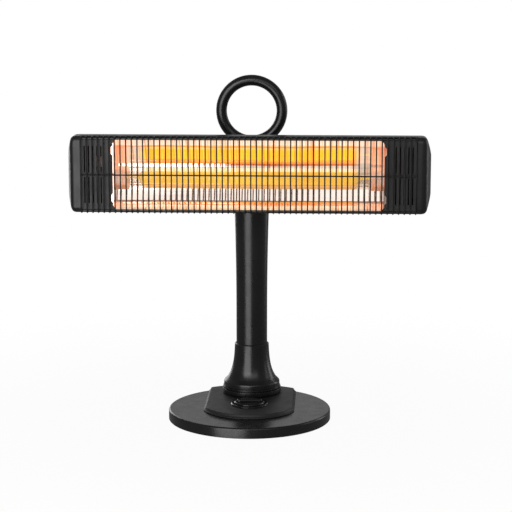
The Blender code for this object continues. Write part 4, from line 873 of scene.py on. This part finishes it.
def make_tube_and_cap():
    heights = [TUBE_LOW.z, TUBE_LOW.z + SUPPORT] + levels(COLUMN_FLARE_Z, COLUMN_HEAD_Z, 24)
    heights += [TUBE_HIGH.z - SUPPORT, TUBE_HIGH.z]
    outline = [(column_radius(z), z) for z in reversed(heights)]
    outline += [(column_radius(z) - COLUMN_WALL, z) for z in heights]
    tube = turned(outline, COLUMN_CENTRE, 160)
    piece = add_piece("column_tube_fine", tube, TUBE_PAINT, "column", ("column_tube",))
    for index in (1, 2):
        screw_low, screw_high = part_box(f"bracket_screw_{index}")
        z = (screw_low.z + screw_high.z) / 2
        drill(piece, (0, COLUMN_Y, z), (0, COLUMN_Y - 0.04, z), SCREW_BORE, 20)
    screw_low, screw_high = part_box("ring_screw")
    z = (screw_low.z + screw_high.z) / 2
    drill(piece, (0, COLUMN_Y, z), (0, COLUMN_Y + 0.04, z), SCREW_BORE, 20)

    seat, top = TUBE_HIGH.z + 0.0003, CAP_HIGH.z
    rise = top - seat
    head = TUBE_HIGH.x
    outline = [(CAP_BORE, CAP_LOW.z), (head - 0.0021, CAP_LOW.z), (head - 0.0021, seat), (head, seat)]
    outline += [(head, seat + rise * 0.25), (head - 0.0018, seat + rise * 0.58)]
    outline += [(head - 0.0060, seat + rise * 0.84), (CAP_BORE, top)]
    plug = turned(softened(outline, 0.0016, 5), COLUMN_CENTRE, 160)
    cap = add_piece("column_cap_fine", plug, PLASTIC, "column", ("column_cap",))
    combine(cap, ring_shape(0.0003))
    drill(cap, (0, COLUMN_Y + 0.005, z), (0, COLUMN_Y + 0.04, z), SCREW_BORE, 20)


def ring_shape(allowance=0.0):
    outline = arc((RING_RADIUS, 0.0), RING_THICKNESS + allowance, 0, 360, 28)[:-1]
    place = (0.0, COLUMN_Y, RING_HIGH.z - RING_RADIUS - RING_THICKNESS)
    return turned_toward(outline, place, (0, -1, 0), 144)


def make_carry_ring():
    piece = add_piece(
        "carry_ring_fine", ring_shape(), PLASTIC, "column", ("carry_ring",)
    )
    low = RING_LOW.z
    foot = RING_HIGH.z - 2 * RING_RADIUS - RING_THICKNESS
    outline = [(0.0, low), (0.012, low), (0.012, CAP_HIGH.z + 0.0005), (0.0103, foot + 0.003)]
    outline += [(0.0, foot + 0.003)]
    stem = turned(softened(outline, 0.0008, 3, False), (0, COLUMN_Y, 0), 64)
    combine(piece, stem, "UNION")
    screw_low, screw_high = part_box("ring_screw")
    z = (screw_low.z + screw_high.z) / 2
    drill(piece, (0, COLUMN_Y + 0.0035, z), (0, COLUMN_Y + 0.05, z), SCREW_BORE, 20)


# --- Lamp head --------------------------------------------------------------------------------
def mirrored(outline):
    return outline + [(u, -v) for u, v in reversed(outline)]


def at_head(points, x):
    return [(x, HEAD_Y + y, HEAD_Z + z) for y, z in points]


def shell_section():
    """Closed section of the head's housing, which is open at the front between two ledges."""
    ledge_z, ledge_y = HALF_HEIGHT - LEDGE_DROP, -HALF_DEPTH + LEDGE_DEPTH
    corner = (HALF_DEPTH - HEAD_CORNER, HALF_HEIGHT - HEAD_CORNER)
    front = [(-HALF_DEPTH, ledge_z), (ledge_y, ledge_z), (ledge_y, HALF_HEIGHT)]
    front = softened([(-HALF_DEPTH, 0.0)] + front + [(corner[0], HALF_HEIGHT)], 0.0005, 3, False)[1:-1]
    outer = front + arc(corner, HEAD_CORNER, 90, 0, 18)
    step = ledge_y + SHELL_WALL
    inner = arc(corner, HEAD_CORNER - SHELL_WALL, 0, 90, 18)
    inner += [(step, HALF_HEIGHT - SHELL_WALL), (step, ledge_z - SHELL_WALL)]
    inner += [(-HALF_DEPTH + 0.0004, ledge_z - SHELL_WALL), (-HALF_DEPTH, ledge_z - SHELL_WALL + 0.0004)]
    return mirrored(outer) + [(y, -z) for y, z in reversed(inner)] + inner


def shell_stations(length):
    """Sections close to both ends and every few centimetres between, so wear stays on the edges."""
    inner = length - SUPPORT
    return [-length] + levels(-inner, inner, 12) + [length]


def make_shell():
    section = shell_section()
    length = SHELL_HIGH.x
    shell = add_piece(
        "rear_shell_fine",
        loft([at_head(section, x) for x in shell_stations(length)]),
        SHELL,
        "head",
        ("rear_shell",),
    )
    for index in range(4):
        low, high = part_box(f"arm_screw_{index + 1}")
        x, z = (low.x + high.x) / 2, (low.z + high.z) / 2
        drill(shell, (x, HEAD_Y + 0.01, z), (x, HEAD_Y + 0.05, z), SCREW_BORE, 20)


def cap_section(inset, x):
    half_z, half_y = HALF_HEIGHT - inset, HALF_DEPTH - inset
    front = 0.0090 * half_y / HALF_DEPTH
    rear = HEAD_CORNER * half_y / HALF_DEPTH
    points = arc((-half_y + front, half_z - front), front, 180, 90, 10)
    points += arc((half_y - rear, half_z - rear), rear, 90, 0, 18)
    return at_head(mirrored(points), x)


def make_end_cap(word, side):
    inner_x = END_LOW.x
    width = END_HIGH.x - END_LOW.x
    wall = 0.0022
    loops = [cap_section(wall + 0.003, side * (inner_x + 0.013)), cap_section(wall, side * inner_x)]
    # Parts of the cap's width, each with how far the outline has drawn in by then
    profile = [(0.0, 0.0), (0.38, 0.0), (0.58, 0.0012), (0.71, 0.0045), (0.81, 0.0110)]
    profile = [(part * width, inset) for part, inset in profile + [(0.92, 0.0190), (1.0, 0.0270)]]
    profile = softened(profile, 0.0030, 5, False)
    loops += [cap_section(max(inset, 0.0), side * (inner_x + depth)) for depth, inset in profile]
    name = f"end_cap_{word}"
    add_piece(f"{name}_fine", loft(loops), SHELL, "head", (name,), 50.0)


def make_vent_panel(word, side):
    name = f"vent_panel_{word}"
    low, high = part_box(name)
    height = high.z - HEAD_Z
    far = max(abs(low.x), abs(high.x))
    notch = WINDOW_X + 0.0025
    rim = [(far, height), (WINDOW_X - GUSSET, height), (WINDOW_X, height - GUSSET * 1.4)]
    rim += [(WINDOW_X, TAB_HIGH_Z), (notch, TAB_HIGH_Z - 0.0025), (notch, TAB_LOW_Z + 0.0025)]
    rim += [(WINDOW_X, TAB_LOW_Z)]
    rim += [(x, -z) for x, z in reversed(rim)]
    middle = (WINDOW_X + far) / 2
    loops = []
    for y, inset in ((low.y, 0.0004), (low.y + 0.0004, 0.0), (high.y, 0.0)):
        loop = []
        for x, z in rim:
            toward = inset if x < middle else -inset
            loop.append((side * (x + toward), y, HEAD_Z + z - math.copysign(inset, z)))
        loops.append(loop)
    panel = add_piece(f"{name}_fine", loft(loops), VENT, "head", (name,))
    for column in range(SLOT_COLUMNS):
        x = side * (WINDOW_X + 0.016 + column * SLOT_PITCH)
        for row in (-1, 1):
            inner, outer = sorted((row * 0.0032, row * 0.0415))
            corner_low = (x - SLOT_HALF_WIDTH, low.y - 0.01, HEAD_Z + inner)
            corner_high = (x + SLOT_HALF_WIDTH, low.y + 0.01, HEAD_Z + outer)
            slot = box(corner_low, corner_high)
            deep = [edge for edge in slot.edges if abs(edge.verts[0].co.y - edge.verts[1].co.y) > 0.01]
            bmesh.ops.bevel(slot, geom=deep, offset=0.0007, segments=3, profile=0.5, affect="EDGES")
            combine(panel, slot)


def trough_path():
    """Section of the reflector, from its top front edge to its bottom front edge."""
    opening = HALF_HEIGHT - LEDGE_DROP - SHELL_WALL
    path = [
        (-0.0255, opening - 0.0015),
        (-0.0130, opening - 0.0100),
        (0.0070, 0.0140),
        (0.0070, -0.0140),
        (-0.0020, 0.0092 - opening),
        (-0.0100, 0.0037 - opening),
        (-0.0255, 0.0015 - opening),
    ]
    return softened(path, 0.0025, 5, False)


def make_reflector():
    path = trough_path()
    back = []
    for index, point in enumerate(path):
        ahead = Vector(path[min(index + 1, len(path) - 1)])
        behind = Vector(path[max(index - 1, 0)])
        along = (ahead - behind).normalized()
        back.append((point[0] - along.y * REFLECTOR_SHEET, point[1] + along.x * REFLECTOR_SHEET))
    section = path + list(reversed(back))
    length = MIRROR_HIGH.x
    trough = loft([at_head(section, -length), at_head(section, length)])
    add_piece("reflector_fine", trough, MIRROR_WITH_PAINTED_REFLECTIONS, "head", ("reflector",), 60.0)
    for word, side in (("left", -1), ("right", 1)):
        name = f"reflector_end_{word}"
        low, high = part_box(name)
        near, far = sorted((low.x, high.x), key=abs)
        plate = loft([at_head(path, near), at_head(path, near + side * END_PLATE)])
        piece = add_piece(f"{name}_fine", plate, MIRROR_WITH_PAINTED_REFLECTIONS, "head", (name,))
        for row in (-1, 1):
            low_z, high_z = sorted((HEAD_Z + row * TAB_LOW_Z, HEAD_Z + row * TAB_HIGH_Z))
            low_x, high_x = sorted((near + side * 0.0001, far))
            tab = box((low_x, low.y, low_z), (high_x, low.y + END_PLATE, high_z))
            combine(piece, tab, "UNION")
        drill(piece, (side * 0.18, LAMP_Y, LAMP_Z), (side * 0.21, LAMP_Y, LAMP_Z), LAMP_HOLE, 64)


def make_lamp():
    origin = (0.0, LAMP_Y, LAMP_Z)
    half = LAMP_HIGH.x
    bore = LAMP_R - LAMP_WALL
    outline = [(bore, -half), (LAMP_R, -half), (LAMP_R, half), (bore, half)]
    tube = turned_toward(softened(outline, 0.0003, 3), origin, (1, 0, 0), 64)
    add_piece("lamp_tube_fine", tube, QUARTZ, "head", ("lamp_tube",))

    glow = half - 0.027
    radius, lead = ELEMENT_RADIUS, ELEMENT_LEAD_RADIUS
    outline = [(0.0, -half), (lead, -half), (lead, -glow - 0.006), (radius * 0.8, -glow)]
    outline += [(radius, -glow + 0.002)]
    steps = 120
    for step in range(1, steps):
        x = -glow + 0.002 + (2 * glow - 0.004) * step / steps
        outline.append((radius * (1.0 - 0.10 * (step % 2)), x))
    outline += [(radius, glow - 0.002), (radius * 0.8, glow), (lead, glow + 0.006)]
    outline += [(lead, half), (0.0, half)]
    element = turned_toward(outline, origin, (1, 0, 0), 24)
    add_piece("lamp_element_fine", element, ELEMENT, "head", ("lamp_element",))

    radius = (SOCKET_HIGH.z - SOCKET_LOW.z) / 2
    length = SOCKET_HIGH.x - SOCKET_LOW.x
    for word, side in (("left", -1), ("right", 1)):
        mouth = (side * SOCKET_LOW.x, LAMP_Y, LAMP_Z)
        fit = LAMP_R + 0.0003
        outline = [(0.0, 0.007), (fit, 0.007), (fit, 0.0), (radius, 0.0), (radius, 0.0030)]
        outline += [(radius - 0.0008, 0.0034), (radius - 0.0008, 0.0046), (radius, 0.0050)]
        outline += [(radius, length), (0.0, length)]
        socket = turned_toward(softened(outline, 0.0004, 3, False), mouth, (side, 0, 0), 64)
        name = f"lamp_socket_{word}"
        add_piece(f"{name}_fine", socket, CERAMIC_WITH_PAINTED_GLOW, "head", (name,))


def make_guard():
    """Upright wires bent back at both ends, a level wire and two rails that join the bent ends."""
    radius = WIRE_RADIUS
    face_y = GUARD_LOW.y + radius
    leg_z = HALF_HEIGHT - LEDGE_DROP + 0.0003 + radius
    end_y = GUARD_HIGH.y
    span = GUARD_HIGH.x - radius
    half = [(end_y, leg_z), (face_y + 0.004, leg_z)]
    half += arc((face_y + WIRE_BEND, leg_z - WIRE_BEND), WIRE_BEND, 90, 180, 6)
    section = mirrored(half)
    paths = []
    for index in range(GUARD_WIRES):
        x = -span + 2 * span * index / (GUARD_WIRES - 1)
        paths.append([(x, y, HEAD_Z + z) for y, z in section])
    rail = face_y + 1.6 * radius
    paths.append([(-span, rail, HEAD_Z), (span, rail, HEAD_Z)])
    for sign in (-1, 1):
        z = HEAD_Z + sign * leg_z
        paths.append([(-span, end_y - radius, z), (span, end_y - radius, z)])
    add_piece("guard_fine", sweep(paths, radius), WIRE, "head", ("guard",), 70.0)


# --- Tilt joint and screws --------------------------------------------------------------------
def make_screw(name, node, body, direction):
    """A pan-head screw with a cross recess."""
    low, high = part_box(node)
    axis = Vector(direction)
    size = high - low
    centre = (low + high) / 2
    along = abs(size.dot(axis))
    tip = centre + axis * along / 2
    head_radius = sorted(size)[1] / 2
    seat = along - 0.0018
    outline = [(0.0, 0.0), (0.002, 0.0), (0.002, seat), (head_radius, seat)]
    outline += [(head_radius, seat + 0.0009), (head_radius * 0.7, seat + 0.0018), (0.0, seat + 0.0018)]
    body_mesh = turned_toward(softened(outline, 0.0004, 3, False), tip, -axis, 40)
    screw = add_piece(name, body_mesh, STEEL, body, (node,))
    turn = (-axis).to_track_quat("Z", "Y").to_matrix().to_4x4()
    for first, second in ((0.0021, 0.0004), (0.0004, 0.0021)):
        recess = box((-first, -second, along - 0.0010), (first, second, along + 0.001))
        bmesh.ops.transform(recess, matrix=Matrix.Translation(tip) @ turn, verts=recess.verts)
        combine(screw, recess)


def make_joint_pieces():
    softened_copy("tilt_bracket_fine", "tilt_bracket", 0.0007, SHELL, "column")
    softened_copy("head_arm_fine", "head_arm", 0.0006, SHELL, "head")
    softened_copy("tilt_knob_fine", "tilt_knob", 0.0009, PLASTIC, "clamp_knob")
    softened_copy("tilt_bolt_fine", "tilt_bolt", 0.0003, STEEL, "column")
    for index in range(4):
        make_screw(f"arm_screw_{index + 1}_fine", f"arm_screw_{index + 1}", "head", (0, -1, 0))
    for index in range(3):
        make_screw(f"base_screw_{index + 1}_fine", f"base_screw_{index + 1}", "base", (0, 0, 1))
    make_screw("ring_screw_fine", "ring_screw", "column", (0, -1, 0))


def dress_cad_nodes():
    """The CAD nodes that stay get finished materials."""
    choice = {
        "base_ballast": IRON,
        "base_plate": STEEL,
        "swivel_post": STEEL,
        "post_nut": STEEL,
        "swivel_nut": STEEL,
        "bracket_screw_1": STEEL,
        "bracket_screw_2": STEEL,
        "tilt_washer_left": STEEL,
        "tilt_washer_right": STEEL,
        "lamp_holder_left": STEEL,
        "lamp_holder_right": STEEL,
        "thermal_cutout": STEEL,
        "terminal_block": CERAMIC_WITH_PAINTED_GLOW,
        "rotary_switch": SWITCH,
        "tip_switch": SWITCH,
        "cable_gland": SWITCH,
        "swivel_hub": SWITCH,
        "column_lead": CABLE,
        "lamp_lead": CABLE,
        "tip_plunger": RED,
    }
    for node, material in choice.items():
        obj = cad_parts[node]
        if not obj.material_slots:
            obj.data.materials.append(material)
        for slot in obj.material_slots:
            slot.material = material


make_camera()
make_world()
make_floor()
for softbox in SOFTBOXES:
    add_softbox(*softbox)
make_base()
make_feet()
make_control_housing()
make_knob()
make_column_foot()
make_skirt()
make_tube_and_cap()
make_carry_ring()
make_shell()
for word, side in (("left", -1), ("right", 1)):
    make_end_cap(word, side)
    make_vent_panel(word, side)
make_reflector()
make_lamp()
make_guard()
make_joint_pieces()
dress_cad_nodes()
